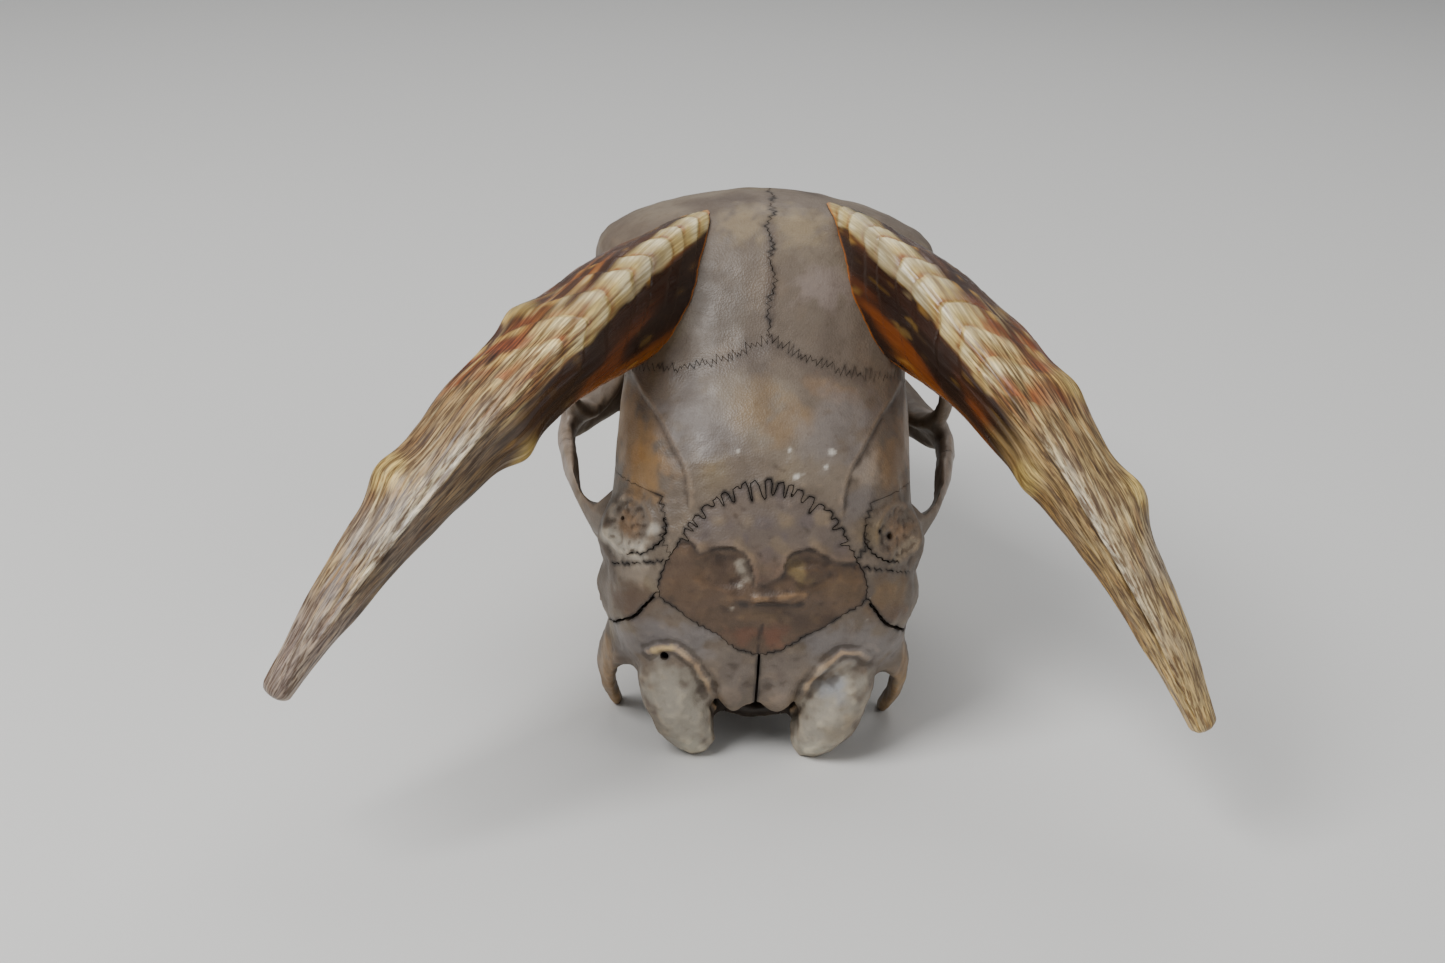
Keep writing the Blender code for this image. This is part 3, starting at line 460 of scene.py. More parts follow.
def cone_cells(outlines, grow):
    """Closed cones from the braincase's middle out through the outlines, widened by grow."""
    bm = bmesh.new()
    for outline in outlines:
        aims = [(Vector(p) - CORE).normalized() for p in outline]
        count = len(aims)
        middle = sum(aims, Vector()).normalized()
        walls = [aims[i].cross(aims[(i + 1) % count]) for i in range(count)]
        turn = -1.0 if sum(wall.dot(middle) for wall in walls) > 0 else 1.0
        walls = [wall.normalized() * turn for wall in walls]
        apex = bm.verts.new(CORE - middle * grow)
        cap = bm.verts.new(CORE + middle * CONE_REACH)
        shifts = [mitre(walls[i - 1], walls[i]) * grow for i in range(count)]
        far = [bm.verts.new(CORE + shift + aim * CONE_REACH) for shift, aim in zip(shifts, aims)]
        near = [bm.verts.new(CORE + shift) for shift in shifts] if grow else [apex] * count
        for i in range(count):
            j = (i + 1) % count
            bm.faces.new((cap, far[j], far[i]))
            if grow:
                bm.faces.new((near[i], far[i], far[j], near[j]))
                bm.faces.new((apex, near[i], near[j]))
            else:
                bm.faces.new((apex, far[i], far[j]))
    return closed_mesh("cell", bm)


def plate_cells(outlines, push, grow):
    """Closed cells from outlines of inner points, pushed straight outwards and widened by grow."""
    bm = bmesh.new()
    for side, outline in zip((1, -1), outlines):
        way = Vector((side * push[0], push[1], push[2]))
        out = way.normalized()
        points = [Vector(p) for p in outline]
        count = len(points)
        flat = [p - out * p.dot(out) for p in points]
        walls = [(flat[(i + 1) % count] - flat[i]).normalized().cross(out) for i in range(count)]
        turn = sum((flat[i - 1].cross(flat[i])).dot(out) for i in range(count))
        walls = [wall * math.copysign(1.0, turn) for wall in walls]
        shifts = [mitre(walls[i - 1], walls[i]) * grow for i in range(count)]
        near = [p + shift - out * grow * PLATE_START for p, shift in zip(points, shifts)]
        tube(bm, (near, [p + way for p in near]))
    return closed_mesh("cell", bm)


def midline_wall(width):
    """The thin jagged wall between the bones of both sides, along the roof, nose and palate."""
    rng = np.random.default_rng(7)
    places = np.arange(*MIDLINE_SPAN)
    reach = np.interp(places, *MIDLINE_REACH)
    signs = np.where(np.arange(len(places)) % 2, 1.0, -1.0)
    middle = signs * reach * rng.uniform(0.0, 1.0, len(places)) ** 1.5
    middle += 0.5 * reach * np.sin(places * 0.9) + 0.4 * reach * np.sin(places * 0.37 + 1.0)
    right, left = ([(x + side * width / 2, y) for x, y in zip(middle, places)] for side in (1, -1))
    bm = bmesh.new()
    tube(bm, [[(x, y, z) for x, y in right + left[::-1]] for z in MIDLINE_HEIGHTS])
    return closed_mesh("midline", bm)


# Teeth from the last molar forwards: length along the row, width and crown height
TOOTH_ROW = [
    (10.6, 8.8, 9.6),
    (12.6, 10.3, 9.9),
    (11.2, 10.0, 9.4),
    (8.3, 8.8, 8.4),
    (7.1, 7.4, 7.6),
    (6.1, 6.0, 6.6),
]
TOOTH_ROW_START = 61.6
TOOTH_ROOT = 3.0
TOOTH_ARC_MIDDLE = 78.0
TOOTH_ARC_X = 21.6
TOOTH_ARC_BEND = 0.00085
TOOTH_SQUARENESS = 0.6
LOBED_LENGTH = 9.0
LOBE_PINCH = 0.09
CHEWING_SLOPE = 0.16
CHEWING_CUSPS = 0.10
TARTAR_HEIGHT = 0.35
# The ridge of bone round the roots: its middle above the sockets' edge, its half height, how much
# of its top is gone at the front, and how far it stands outside the teeth
RIDGE_MIDDLE = 4.6
RIDGE_HALF_HEIGHT = 4.4
RIDGE_DROP = 0.45
RIDGE_MARGIN = 0.1


def squared(wave):
    """A sine or cosine pulled towards a square's outline."""
    return np.sign(wave) * np.abs(wave) ** TOOTH_SQUARENESS


def row_arc(y):
    """How far from the midline the row of teeth runs."""
    return TOOTH_ARC_X - TOOTH_ARC_BEND * (y - TOOTH_ARC_MIDDLE) ** 2


# Bones

# The block under the tooth sockets that takes the crowns off the jaw's copy: its size and place
CROWN_BLOCK = ((80, 62, 20), (0, 90, -9.5))
MERGE_DISTANCE = 0.0005


def socket_ridge(side):
    """The ridge of bone that holds one row of teeth, from a sphere's rings."""
    ridge, share, a = ringed_ball(32, 80)
    lengths, widths, heights = np.array(TOOTH_ROW).T
    ends = np.cumsum([0.0, *lengths])
    wide = np.interp(share * ends[-1], (ends[1:] + ends[:-1]) / 2, widths)
    full = np.sin(share * math.pi) ** 0.25
    up = squared(np.sin(a)) * np.where(a > 0, 1 - RIDGE_DROP * share**2, 1)
    y = TOOTH_ROW_START + share * ends[-1]
    x = row_arc(y) + (0.5 * wide + RIDGE_MARGIN) * full * squared(np.cos(a))
    set_points(ridge.data, np.stack([side * x, y, RIDGE_MIDDLE + RIDGE_HALF_HEIGHT * full * up], axis=1))
    faces_outward(ridge)
    return ridge


def fused_skull(sizes):
    """All CAD bones as one smooth skin without their teeth, in the skull's frame."""
    copies = [socket_ridge(1), socket_ridge(-1)]
    for name in BONES:
        twin = new_object(name + "_copy", frame["nodes"][name].data.copy())
        twin.data.transform(TO_WORLD.inverted())
        edited(twin, bpy.ops.mesh.remove_doubles, threshold=MERGE_DISTANCE)
        if name.startswith("maxilla"):
            crowns = box(*CROWN_BLOCK)
            cut(twin, crowns, "DIFFERENCE")
            discard(crowns)
        set_points(twin.data, points_of(twin.data) + normals_of(twin.data) * sizes.closing)
        copies.append(twin)
    select_only(*copies)
    bpy.ops.object.join()
    skull = bpy.context.object
    skull.data.materials.clear()
    modified(skull, "REMESH", mode="VOXEL", voxel_size=sizes.voxel * 1.0)
    points = eased(points_of(skull.data), edges_of(skull.data), sizes.easing)
    set_points(skull.data, points)
    set_points(skull.data, points - normals_of(skull.data) * sizes.closing)
    return skull


# Lines on the right side of the skull, some of them on the left too
TEMPORAL_LINE = [
    (27.0, 43.0, 76.0), (24.6, 36.5, 77.0), (21.4, 30.2, 76.8), (18.3, 23.4, 74.9), (16.2, 20.0, 73.2),
    (15.2, 17.4, 71.2), (14.8, 15.4, 69.2),
]
# The lower edge of the occiput's pale plate, from left to right over both neck muscle hollows
PLATE_EDGE = [
    (-17.0, 9.0, 62.4), (-14.2, 10.3, 62.6), (-12.4, 8.3, 61.4), (-9.9, 8.8, 62.1), (-6.5, 8.6, 62.3),
    (-3.9, 7.9, 61.9), (-2.7, 7.1, 60.3), (-2.1, 6.1, 58.0), (-1.4, 5.2, 56.0), (1.0, 5.4, 56.5),
    (3.3, 5.7, 57.2), (3.8, 6.4, 58.9), (4.4, 7.6, 61.1), (5.8, 8.4, 62.1), (8.4, 8.8, 62.4),
    (11.0, 8.4, 61.6), (14.1, 8.0, 59.8), (17.0, 8.4, 59.0),
]
NAPE_RIDGE = [(-1.4, 3.4, 53.8), (3.3, 3.6, 54.2), (7.8, 4.5, 54.1)]
NAPE_HOLLOW = [(-0.9, 3.3, 51.8), (3.4, 3.4, 52.0), (7.3, 4.1, 52.0)]
NAPE_PIT = (-3.6, 3.4, 51.9)
CONDYLE_RIM = [
    (21.6, 4.0, 37.6), (19.9, 3.4, 39.4), (16.4, 2.8, 40.0), (12.4, 1.0, 37.2), (10.0, 0.6, 32.6),
    (8.6, 2.4, 25.0), (7.8, 5.1, 20.0),
]
DISC_EDGE = [
    (22.1, 18.0, 67.1), (20.4, 15.6, 65.9), (19.6, 13.8, 64.7), (19.0, 12.1, 63.4), (19.9, 11.3, 60.9),
    (22.6, 11.0, 58.3), (26.6, 12.8, 55.6),
]
MASTOID_EDGE = [
    (29.4, 14.2, 51.6), (26.4, 11.6, 54.2), (23.9, 10.3, 55.8), (21.0, 9.2, 57.2), (19.4, 8.7, 58.0),
]
EAR_GAP = [(21.0, 6.4, 50.6), (22.6, 6.1, 48.4), (24.5, 6.0, 45.5), (26.8, 8.2, 42.2), (29.0, 10.4, 39.0)]
# The way into the braincase
WAY_IN = [(0, 3, 22.5), (0, 12, 28.0), (0, 27, 40.0)]
DISC = (26.4, 16.4, 60.0)
# Narrow grooves: the line, which sides have it, its width, depth and raggedness, and the length of
# its dashes or none
GROOVES = [
    (DISC_EDGE[2:], (1, -1), 0.28, 1.2, 0.28, 0.0),
    (MASTOID_EDGE, (1, -1), 0.22, 0.8, 0.32, 2.4),
    (EAR_GAP, (1, -1), 0.62, 1.8, 0.12, 0.0),
]
GROOVE_STEP = 0.7
OPENING_CORNERS = 16
# Openings for nerves and vessels: where, which sides have it, radius and depth
OPENINGS = [
    ((18.6, 2.7, 37.6), (-1,), 0.85, 3.0),
    ((24.5, 14.8, 60.7), (1,), 0.6, 2.0),
    ((27.6, 18.4, 59.9), (-1,), 0.42, 1.6),
    ((22.2, 14.0, 62.6), (1,), 0.3, 1.0),
    ((15.0, 84.0, 93.0), (1, -1), 1.25, 4.0),
    ((13.2, 88.5, 90.0), (1, -1), 0.5, 1.6),
    ((17.6, 119.0, 24.0), (1, -1), 2.0, 5.0),
    ((9.5, 82.0, 3.0), (1, -1), 1.3, 3.0),
    ((26.2, 97.0, 47.0), (1, -1), 1.1, 2.5),
    ((6.0, 13.0, 17.0), (1, -1), 1.3, 3.0),
]


def on_both(points):
    """The points folded onto the right side."""
    return np.abs(points[:, :1]) * [1, 0, 0] + points * [0, 1, 1]


def above_plate_edge(points):
    """One on the occiput's pale plate, none below its edge."""
    edge = np.array(PLATE_EDGE)
    drop = points[:, 2] - np.interp(points[:, 0], edge[:, 0], edge[:, 2])
    return soft_step(drop + 0.3 * swells(points, 2.4, 39), -0.7, 0.7)


def beside_temple(even):
    """One on the temple's side of the temporal line, none on the roof's side."""
    line = np.array(TEMPORAL_LINE)[::-1]
    return soft_step(even[:, 0] - np.interp(even[:, 1], line[:, 1], line[:, 0]), -0.35, 0.35)


def bump(points, spot, spread):
    return np.exp(-(np.linalg.norm(points - spot, axis=1) / spread) ** 2)


def crest(points, path, spread):
    return np.exp(-(from_path(points, path) / spread) ** 2)


def sculpt(skull):
    """Ridges, edges and soft unevenness that the CAD solids leave out."""
    points = points_of(skull.data)
    even = on_both(points)
    # The rim of the great opening hangs lower between the condyles
    hang = soft_step(-even[:, 0], -9.5, -4.0) * soft_step(-points[:, 1], -11.0, -3.0)
    hang *= soft_step(-points[:, 2], -40.0, -31.0) * soft_step(points[:, 2], 22.0, 28.0)
    points[:, 2] -= (5.4 + 1.7 * np.exp(-((even[:, 0] - 4.8) / 2.6) ** 2)) * hang
    set_points(skull.data, points)
    normals = normals_of(skull.data)
    even = on_both(points)
    rise = 0.07 * swells(points, 9.0, 3) + 0.02 * swells(points, 3.4, 5)
    rear = soft_step(-points[:, 1], -30, -14)
    for height, size, seed in ((0.05, 1.9, 8), (0.12, 4.6, 9), (0.07, 9.0, 3)):
        rise += rear * height * swells(points, size, seed)
    temple = beside_temple(even)
    rise += (0.26 - 0.50 * temple) * crest(even, TEMPORAL_LINE, 2.8) + 0.14 * crest(even, TEMPORAL_LINE, 0.8)
    occiput = (points[:, 1] < 12) & (points[:, 2] > 47) & (even[:, 0] < 18)
    column = 1 - 0.85 * np.exp(-((points[:, 0] - 1.0) / 2.2) ** 2)
    rise += occiput * column * (0.6 * above_plate_edge(points) - 0.35) * crest(points, PLATE_EDGE, 2.0)
    hollows = np.linalg.norm((on_both(points - [0.7, 0, 0]) - [8.2, 6.6, 58.0]) / [6.4, 4.0, 3.9], axis=1)
    rise -= 0.6 * soft_step(-hollows, -1.05, -0.55)
    rise += 0.6 * crest(points, NAPE_RIDGE, 0.8) - 0.3 * crest(points, NAPE_HOLLOW, 0.9)
    rise -= 0.45 * bump(points, NAPE_PIT, 1.5)
    rise += 0.8 * bump(even, (4.8, 0.6, 29.0), 3.4)
    rim = from_path(even, CONDYLE_RIM)
    rise += 0.26 * np.exp(-(rim / 0.6) ** 2) - 0.30 * np.exp(-((rim - 1.4) / 0.8) ** 2) * (even[:, 1] > -1.0)
    plate = np.linalg.norm((even - DISC) / [7.0, 6.4, 6.0], axis=1)
    rise += 0.35 * np.exp(-((plate - 0.92) / 0.13) ** 2) * (even[:, 1] < 26)
    rise += 0.12 * swells(points, 1.6, 21) * (plate < 0.85)
    set_points(skull.data, points + normals * rise[:, None])


def ragged(points, reach, rng):
    """The line with points every so often, each pushed a little to either side in turn."""
    dense = smooth_points(points, 60)
    steps = np.concatenate([[0], np.cumsum(np.linalg.norm(np.diff(dense, axis=0), axis=1))])
    count = max(3, round(steps[-1] / GROOVE_STEP))
    places = np.linspace(0, steps[-1], count)
    line = np.stack([np.interp(places, steps, dense[:, i]) for i in range(3)], axis=1)
    return line, np.where(np.arange(count) % 2, 1, -1) * reach * rng.uniform(0.2, 1.0, count)


def engraving(skull):
    """One cutter with every narrow groove and drilled opening, set on the skull's surface."""
    rng = np.random.default_rng(11)
    bm = bmesh.new()

    def surface(p):
        _, spot, normal, _ = skull.closest_point_on_mesh(Vector(p))
        return spot, normal

    for path, sides, width, depth, reach, dash in GROOVES:
        for side in sides:
            line, offsets = ragged([(side * x, y, z) for x, y, z in path], reach, rng)
            spots = [surface(p) for p in line]
            rows = []
            for k, (spot, normal) in enumerate(spots):
                ahead = spots[min(k + 1, len(spots) - 1)][0] - spots[max(k - 1, 0)][0]
                aside = ahead.cross(normal).normalized()
                middle = spot + aside * offsets[k]
                half = aside * width * rng.uniform(0.35, 0.65)
                top, foot = middle + normal, middle - normal * depth
                rows.append([top - half * 1.3, top + half * 1.3, foot + half * 0.4, foot - half * 0.4])
            run = max(2, round(dash / GROOVE_STEP)) if dash else len(rows) - 1
            for start in range(0, len(rows) - 1, run + (1 if dash else 0)):
                part = rows[start:start + run + 1]
                if len(part) > 1:
                    tube(bm, part)
    for (x, y, z), sides, radius, depth in OPENINGS:
        for side in sides:
            middle, normal = surface((side * x, y, z))
            across = normal.orthogonal().normalized()
            other = normal.cross(across)
            turns = np.linspace(0, 2 * math.pi, OPENING_CORNERS, endpoint=False)
            ways = [across * math.cos(a) + other * math.sin(a) for a in turns]
            tube(bm, [
                [middle + normal * height + way * radius * share for way in ways]
                for height, share in ((1.0, 1.15), (0.0, 1.05), (-0.7 * depth, 0.8), (-depth, 0.4))
            ])
    return closed_mesh("engraving", bm)


# The first of the bone's stains end at the temporal line
TEMPLE_STAINS = 4
# Stains of the bone, among them a painted shadow and a painted highlight on the frontals: a line or spot, how
# far it spreads, its colour, its strength and which sides have it
STAINS_AND_PAINTED_LIGHT = [
    ([(24.6, 22.5, 69.5), (26.0, 27, 70), (27.5, 36, 70), (28, 46, 64)], 6.5, "#977344", 0.70, (-1,)),
    ([(24.6, 24.5, 69.5), (27.0, 34, 69), (28, 46, 64)], 5.0, "#93714A", 0.5, (1,)),
    ([(25.4, 26.0, 70.2)], 2.6, "#A0743A", 0.55, (-1,)),
    ([(19.2, 20.4, 71.9)], 3.4, "#9D8E7E", 0.65, (1,)),
    ([(16.9, 15.4, 68.4), (19.0, 17.5, 68.4)], 3.0, "#645E5D", 0.55, (1,)),
    ([(16.5, 22, 73.5), (20, 33, 77)], 2.4, "#655C57", 0.5, (1, -1)),
    ([(1.8, 24.3, 78.5), (6, 27, 80)], 3.6, "#82653E", 0.5, (1,)),
    ([(4.7, 27.3, 80.2), (2.0, 31, 82)], 4.2, "#7B6342", 0.45, (-1,)),
    ([(8, 33, 82.8), (16, 33, 81)], 2.4, "#7C634A", 0.5, (1,)),
    ([(10.0, 24, 77.4), (15, 30, 79)], 5.5, "#77716F", 0.45, (1, -1)),
    ([(24.0, 42.5, 78.4)], 1.7, "#A09385", 0.6, (1,)),
    # Painted highlight on the right frontal, where light falls
    ([(8.8, 50.7, 93.3), (12, 52, 92)], 4.5, "#8C7D76", 0.5, (1,)),
    ([(5.6, 62.4, 99.8)], 5.0, "#978462", 0.5, (1, -1)),
    # Painted shadow of the left horn on the left frontal
    ([(9.0, 45.8, 89.8), (12, 50, 92)], 6.0, "#514840", 0.4, (-1,)),
    ([(0, 40, 87), (9, 36, 84), (18, 37, 81)], 1.7, "#4E423A", 0.42, (1, -1)),
    ([(0, 44, 90), (0, 60, 99), (0, 72, 100)], 1.2, "#4B3E34", 0.40, (1, -1)),
    ([DISC], 3.8, "#8A6A49", 0.55, (1, -1)),
    ([(30.4, 17.4, 56.6), (28, 15.5, 54.8), (24, 12.2, 56.8)], 2.5, "#B5AC9D", 0.85, (-1,)),
    ([(30.4, 19.6, 60.6), (29.4, 20.6, 63.6)], 2.0, "#ADA498", 0.7, (-1,)),
    ([(29.4, 17.0, 56.9), (25.5, 13.2, 56.6)], 1.6, "#A09078", 0.55, (1,)),
    ([(21.4, 13.2, 61.9), (22.4, 12.4, 59.4)], 1.4, "#B3AC9F", 0.75, (-1,)),
    ([(26.0, 8.2, 47.6), (24.0, 8.0, 50.0)], 4.2, "#574231", 0.8, (1, -1)),
    ([(23.6, 9.2, 53.6), (27.4, 11.6, 52.4)], 2.2, "#8F8273", 0.6, (-1,)),
    ([(23.4, 7.6, 51.5), (26.4, 9.8, 50.0)], 3.6, "#745C3D", 0.65, (1,)),
    ([(12.6, 2.7, 42.5), (20, 4.5, 41.5), (26, 8.5, 37)], 4.4, "#787373", 0.6, (1, -1)),
    ([(6.8, 1.7, 39.3), (5.0, 1.4, 34.0)], 3.6, "#71665D", 0.5, (1, -1)),
    ([(16.5, -1.0, 31.0), (14.0, -3.4, 24.0), (12.0, -3.6, 17.0)], 6.4, "#9A9385", 0.85, (1, -1)),
    ([(14.4, -0.6, 33.5)], 3.0, "#848A95", 0.6, (1,)),
    ([(12.2, -4.2, 17.4)], 3.0, "#B8B29F", 0.6, (1, -1)),
    ([(15.5, -2.6, 23.0), (18.0, -2.0, 26.0)], 2.6, "#8C7655", 0.4, (1,)),
    (CONDYLE_RIM, 0.6, "#AE9272", 0.6, (1, -1)),
    ([(20.8, 3.4, 38.6), (17.4, 2.8, 39.8)], 0.9, "#BFA673", 0.6, (-1,)),
    ([(4.8, 0.4, 30.0), (3.0, 0.8, 36.0)], 3.0, "#74685F", 0.5, (1, -1)),
    ([(30.6, 12.0, 30.0), (30.0, 12.6, 20.0), (28.6, 15.4, 10.0)], 3.0, "#93754E", 0.6, (1, -1)),
    ([(38.0, 46, 45), (41, 60, 43), (41, 72, 41)], 4.6, "#8E8177", 0.6, (1, -1)),
    ([(36, 68, 72), (31, 66, 80)], 4.0, "#86786E", 0.5, (1, -1)),
]
# The brown bone's own stains
BROWN_STAINS = [
    ([(-12.0, 5.2, 55.0), (-16.5, 5.8, 53.0)], 3.6, "#5B4530", 0.6, (1,)),
    ([(14.5, 6.0, 55.0), (17.5, 6.6, 53.5)], 3.4, "#5E482F", 0.6, (1,)),
    ([(-7.6, 6.3, 57.6)], 3.4, "#3E2D21", 0.55, (1,)),
    ([(9.5, 5.4, 56.5)], 3.6, "#43311F", 0.5, (1,)),
    ([(-4.9, 6.9, 59.6), (-3.7, 5.8, 57.1)], 1.3, "#9A9182", 0.75, (1,)),
    ([(-4.6, 5.2, 55.6)], 0.7, "#968C7B", 0.6, (1,)),
    ([(5.1, 7.1, 59.8), (7.0, 6.1, 57.3)], 1.9, "#7A673F", 0.6, (1,)),
    (NAPE_RIDGE, 0.62, "#8E7150", 0.8, (1,)),
    (NAPE_HOLLOW, 0.8, "#33251D", 0.6, (1,)),
    ([NAPE_PIT], 1.3, "#33261E", 0.75, (1,)),
    ([(-5.8, 3.5, 50.8)], 0.6, "#9D9486", 0.7, (1,)),
    ([(1.6, 3.2, 48.6), (-3.0, 3.2, 48.8)], 1.6, "#665036", 0.5, (1,)),
    ([(-3.4, 2.5, 44.8)], 2.7, "#66422F", 0.7, (1,)),
    ([(2.8, 2.4, 44.2)], 2.9, "#6C432F", 0.75, (1,)),
    ([(0.2, 3.1, 47.1), (-0.2, 2.3, 43.5), (-0.2, 1.5, 39.2)], 0.42, "#27180F", 0.85, (1,)),
]
# Painted glints, small bright specks where light catches the bone: place and spread
PAINTED_GLINTS = [
    (4.2, 21.4, 76.4, 0.7), (12.5, 21.8, 75.8, 0.8), (11.1, 19.4, 74.1, 0.45), (5.6, 17.6, 73.0, 0.9),
    (-5.6, 20.9, 76.1, 0.4), (6.6, 18.0, 73.2, 0.5), (-24.6, 13.4, 52.0, 0.5), (-27.0, 19.6, 62.0, 0.5),
    (21.0, 6.4, 52.0, 0.6), (20.6, 5.6, 47.0, 0.6),
]


def suture_strength(points):
    """How dark the sutures are at each point: black on the occiput, faint across the roof."""
    even = on_both(points)
    roof = soft_step(points[:, 1], 24, 32) * soft_step(points[:, 2], 60, 66)
    strength = (1 - 0.45 * roof) * (1 - 0.35 * soft_step(points[:, 1], 55, 70))
    strength = np.where((even[:, 0] < 2.5) & (points[:, 1] > 44), 0.85, strength)
    side = soft_step(even[:, 0], 20, 22) * soft_step(points[:, 1], 14, 20)
    strength = np.minimum(strength, 1 - 0.6 * side)
    return strength * np.clip(0.74 + 0.34 * swells(points, 4.0, 81), 0.3, 1.1)


def reaches(points, line, spread):
    """Whether a stain round the line can touch a piece with these points."""
    line = np.array(line, float)
    dense = np.concatenate([line[:-1] + (line[1:] - line[:-1]) * u for u in np.linspace(0, 1, 7)])
    gap = np.linalg.norm(dense - np.clip(dense, points.min(axis=0), points.max(axis=0)), axis=1)
    return gap.min() < 2.4 * spread


def painted_bone(points, brown, sizes):
    """The bone's colour at each point: warm taupe, stained and bleached in patches, with painted glints, a
    painted horn shadow and a painted highlight on the frontals, and painted shade inside the braincase.
    """
    even = on_both(points)
    tint = laid_over(
        plain(sizes.colour, len(points)),
        ("#786B5B", soft_step(swells(points, 26.0, 31), 0.0, 1.6)),
        ("#55483D", soft_step(swells(points, 17.0, 32), 0.2, 1.8)),
        ("#7B6A4A", soft_step(swells(points, 13.0, 33), 0.7, 2.2) * 0.6),
    )
    if brown:
        tint = laid_over(
            tint,
            (sizes.brown, np.full(len(points), 0.95)),
            ("#3F2E20", soft_step(swells(points, 6.0, 34), 0.0, 1.5) * 0.7),
            ("#66503A", soft_step(swells(points, 4.0, 37), 0.3, 1.5) * 0.5),
        )
    wander = 1 + 0.28 * swells(points, 4.0, 35) + 0.14 * swells(points, 1.7, 36)
    temple = beside_temple(even)
    for number, (path, spread, code, strength, sides) in enumerate(BROWN_STAINS if brown else STAINS_AND_PAINTED_LIGHT):
        bounded = temple if not brown and number < TEMPLE_STAINS else 1.0
        for side in sides:
            line = [(side * x, y, z) for x, y, z in path]
            line = line if len(line) > 1 else line * 2
            if reaches(points, line, spread):
                gone = from_path(points, line) / (spread * wander)
                tint = laid_over(tint, (code, strength * bounded * soft_step(-gone, -1.35, -0.35)))
    if brown:
        plate = above_plate_edge(points)
        tint = laid_over(
            tint,
            ("#64584F", plate * 0.92),
            ("#5C514E", plate * soft_step(swells(points, 5.0, 37), 0.1, 1.2) * 0.7),
            ("#776650", plate * soft_step(swells(points, 6.0, 38), 0.2, 1.3) * 0.6),
            ("#594536", plate * soft_step(-points[:, 2], -65.0, -57.0) * 0.8),
            ("#30231A", (1 - plate) * 0.55 * crest(points, PLATE_EDGE, 1.0)),
        )
    # Painted glints
    for x, y, z, spread in PAINTED_GLINTS:
        gone = np.linalg.norm(points - [x, y, z], axis=1) / (spread * wander)
        tint = laid_over(tint, ("#C9C3B8", 0.8 * soft_step(-gone, -1.0, -0.4)))
    # Painted shade: the braincase and the way into it are painted dark
    within = np.linalg.norm((points - CORE) / [21.5, 22.0, 21.0], axis=1)
    way = from_path(points, WAY_IN)
    braincase_shade = np.maximum(soft_step(-within, -1.04, -0.94), soft_step(-way, -11.0, -9.0) * (points[:, 1] > 5.0))
    return laid_over(tint, ("#241B14", braincase_shade * 0.85), ("#493C32", 0.12 * crest(even, TEMPORAL_LINE, 0.45)))


def largest(obj, name, sides=(("", 0),)):
    """Keeps the largest loose body, or the largest on each side, and drops the rest."""
    select_only(obj)
    bpy.ops.mesh.separate(type="LOOSE")
    parts = list(bpy.context.selected_objects)
    kept = {}
    for suffix, side in sides:
        own = [o for o in parts if points_of(o.data)[:, 0].mean() * side >= 0]
        best = max(own, key=lambda o: len(o.data.vertices))
        best.name = name + suffix + "_bone"
        kept[name + suffix] = best
    discard(*[o for o in parts if o not in kept.values()])
    return kept


def part_bones(skull, sizes):
    """Parts the skin into its named bones along fine jagged sutures."""
    bones = {}
    wall = midline_wall(MIDLINE_WIDTH * sizes.suture)
    slit = box(*OCCIPUT_SLIT)
    for name, (outline, push, across, width, stretches) in PARTED.items():
        single = across and not push
        right = jagged(name, outline, push, stretches, single)
        outlines = [right] if across else [right, mirrored(right)]
        cell, wide = (
            plate_cells(outlines, push, grow) if push else cone_cells(outlines, grow)
            for grow in (0.0, width * sizes.suture)
        )
        piece = new_object("piece", skull.data.copy())
        cut(piece, cell, "INTERSECT")
        cut(skull, wide, "DIFFERENCE")
        discard(cell, wide)
        if not single and (across or name == "exoccipital"):
            cut(piece, wall if across else slit, "DIFFERENCE")
        bones.update(largest(piece, name) if single else largest(piece, name, BOTH_SIDES))
    bones.update(largest(skull, "skull_base"))
    discard(wall, slit)
    return bones


def finish_piece(piece, node, material):
    """Moves a finished mesh into place, gives it its material and smooth shading, hides the CAD part it
    stands for and attaches it to the body.
    """
    mesh = piece.data
    mesh.transform(TO_WORLD)
    set_points(mesh, np.clip(points_of(mesh), CAD_BOX[0], CAD_BOX[1]))
    mesh.materials.clear()
    mesh.materials.append(material)
    select_only(piece)
    bpy.ops.object.shade_smooth_by_angle(angle=SMOOTH_ANGLE)
    if node:
        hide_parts(node)
    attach(piece, BODY)


# Materials

RANGE_SOCKETS = ("Value", "From Min", "From Max", "To Min", "To Max")
SHADER = "Principled BSDF"


def shade(colour):
    return (*linear(colour), 1.0)


def plugged(tree, made, inputs):
    """Gives a node's sockets their values and links."""
    for key, value in inputs.items():
        if isinstance(value, bpy.types.NodeSocket):
            tree.links.new(value, made.inputs[key])
        else:
            made.inputs[key].default_value = value


def node(tree, kind, inputs=None, **settings):
    """Adds a node with its settings, values and links, and gives its outputs."""
    made = tree.nodes.new(kind)
    for key, value in settings.items():
        setattr(made, key, value)
    plugged(tree, made, inputs or {})
    return made.outputs


def new_material(name):
    material = bpy.data.materials.new(name)
    material.use_nodes = True
    return material, material.node_tree


def layered(tree, colour, layers):
    """Lays colours over the first one. Each row has a mask, where on it the layer starts and ends,
    how strong the layer is at either, a second mask or none, the blend, and the colour or factors."""
    for *span, within, blend, over in layers:
        ranged = dict(zip(RANGE_SOCKETS, span))
        share = node(tree, "ShaderNodeMapRange", ranged, interpolation_type="SMOOTHSTEP")["Result"]
        if within is not None:
            share = node(tree, "ShaderNodeMath", {0: within, 1: share}, operation="MULTIPLY")[0]
        mix = {0: share, 6: colour, 7: shade(over)}
        colour = node(tree, "ShaderNodeMix", mix, data_type="RGBA", blend_type=blend)[2]
    return colour


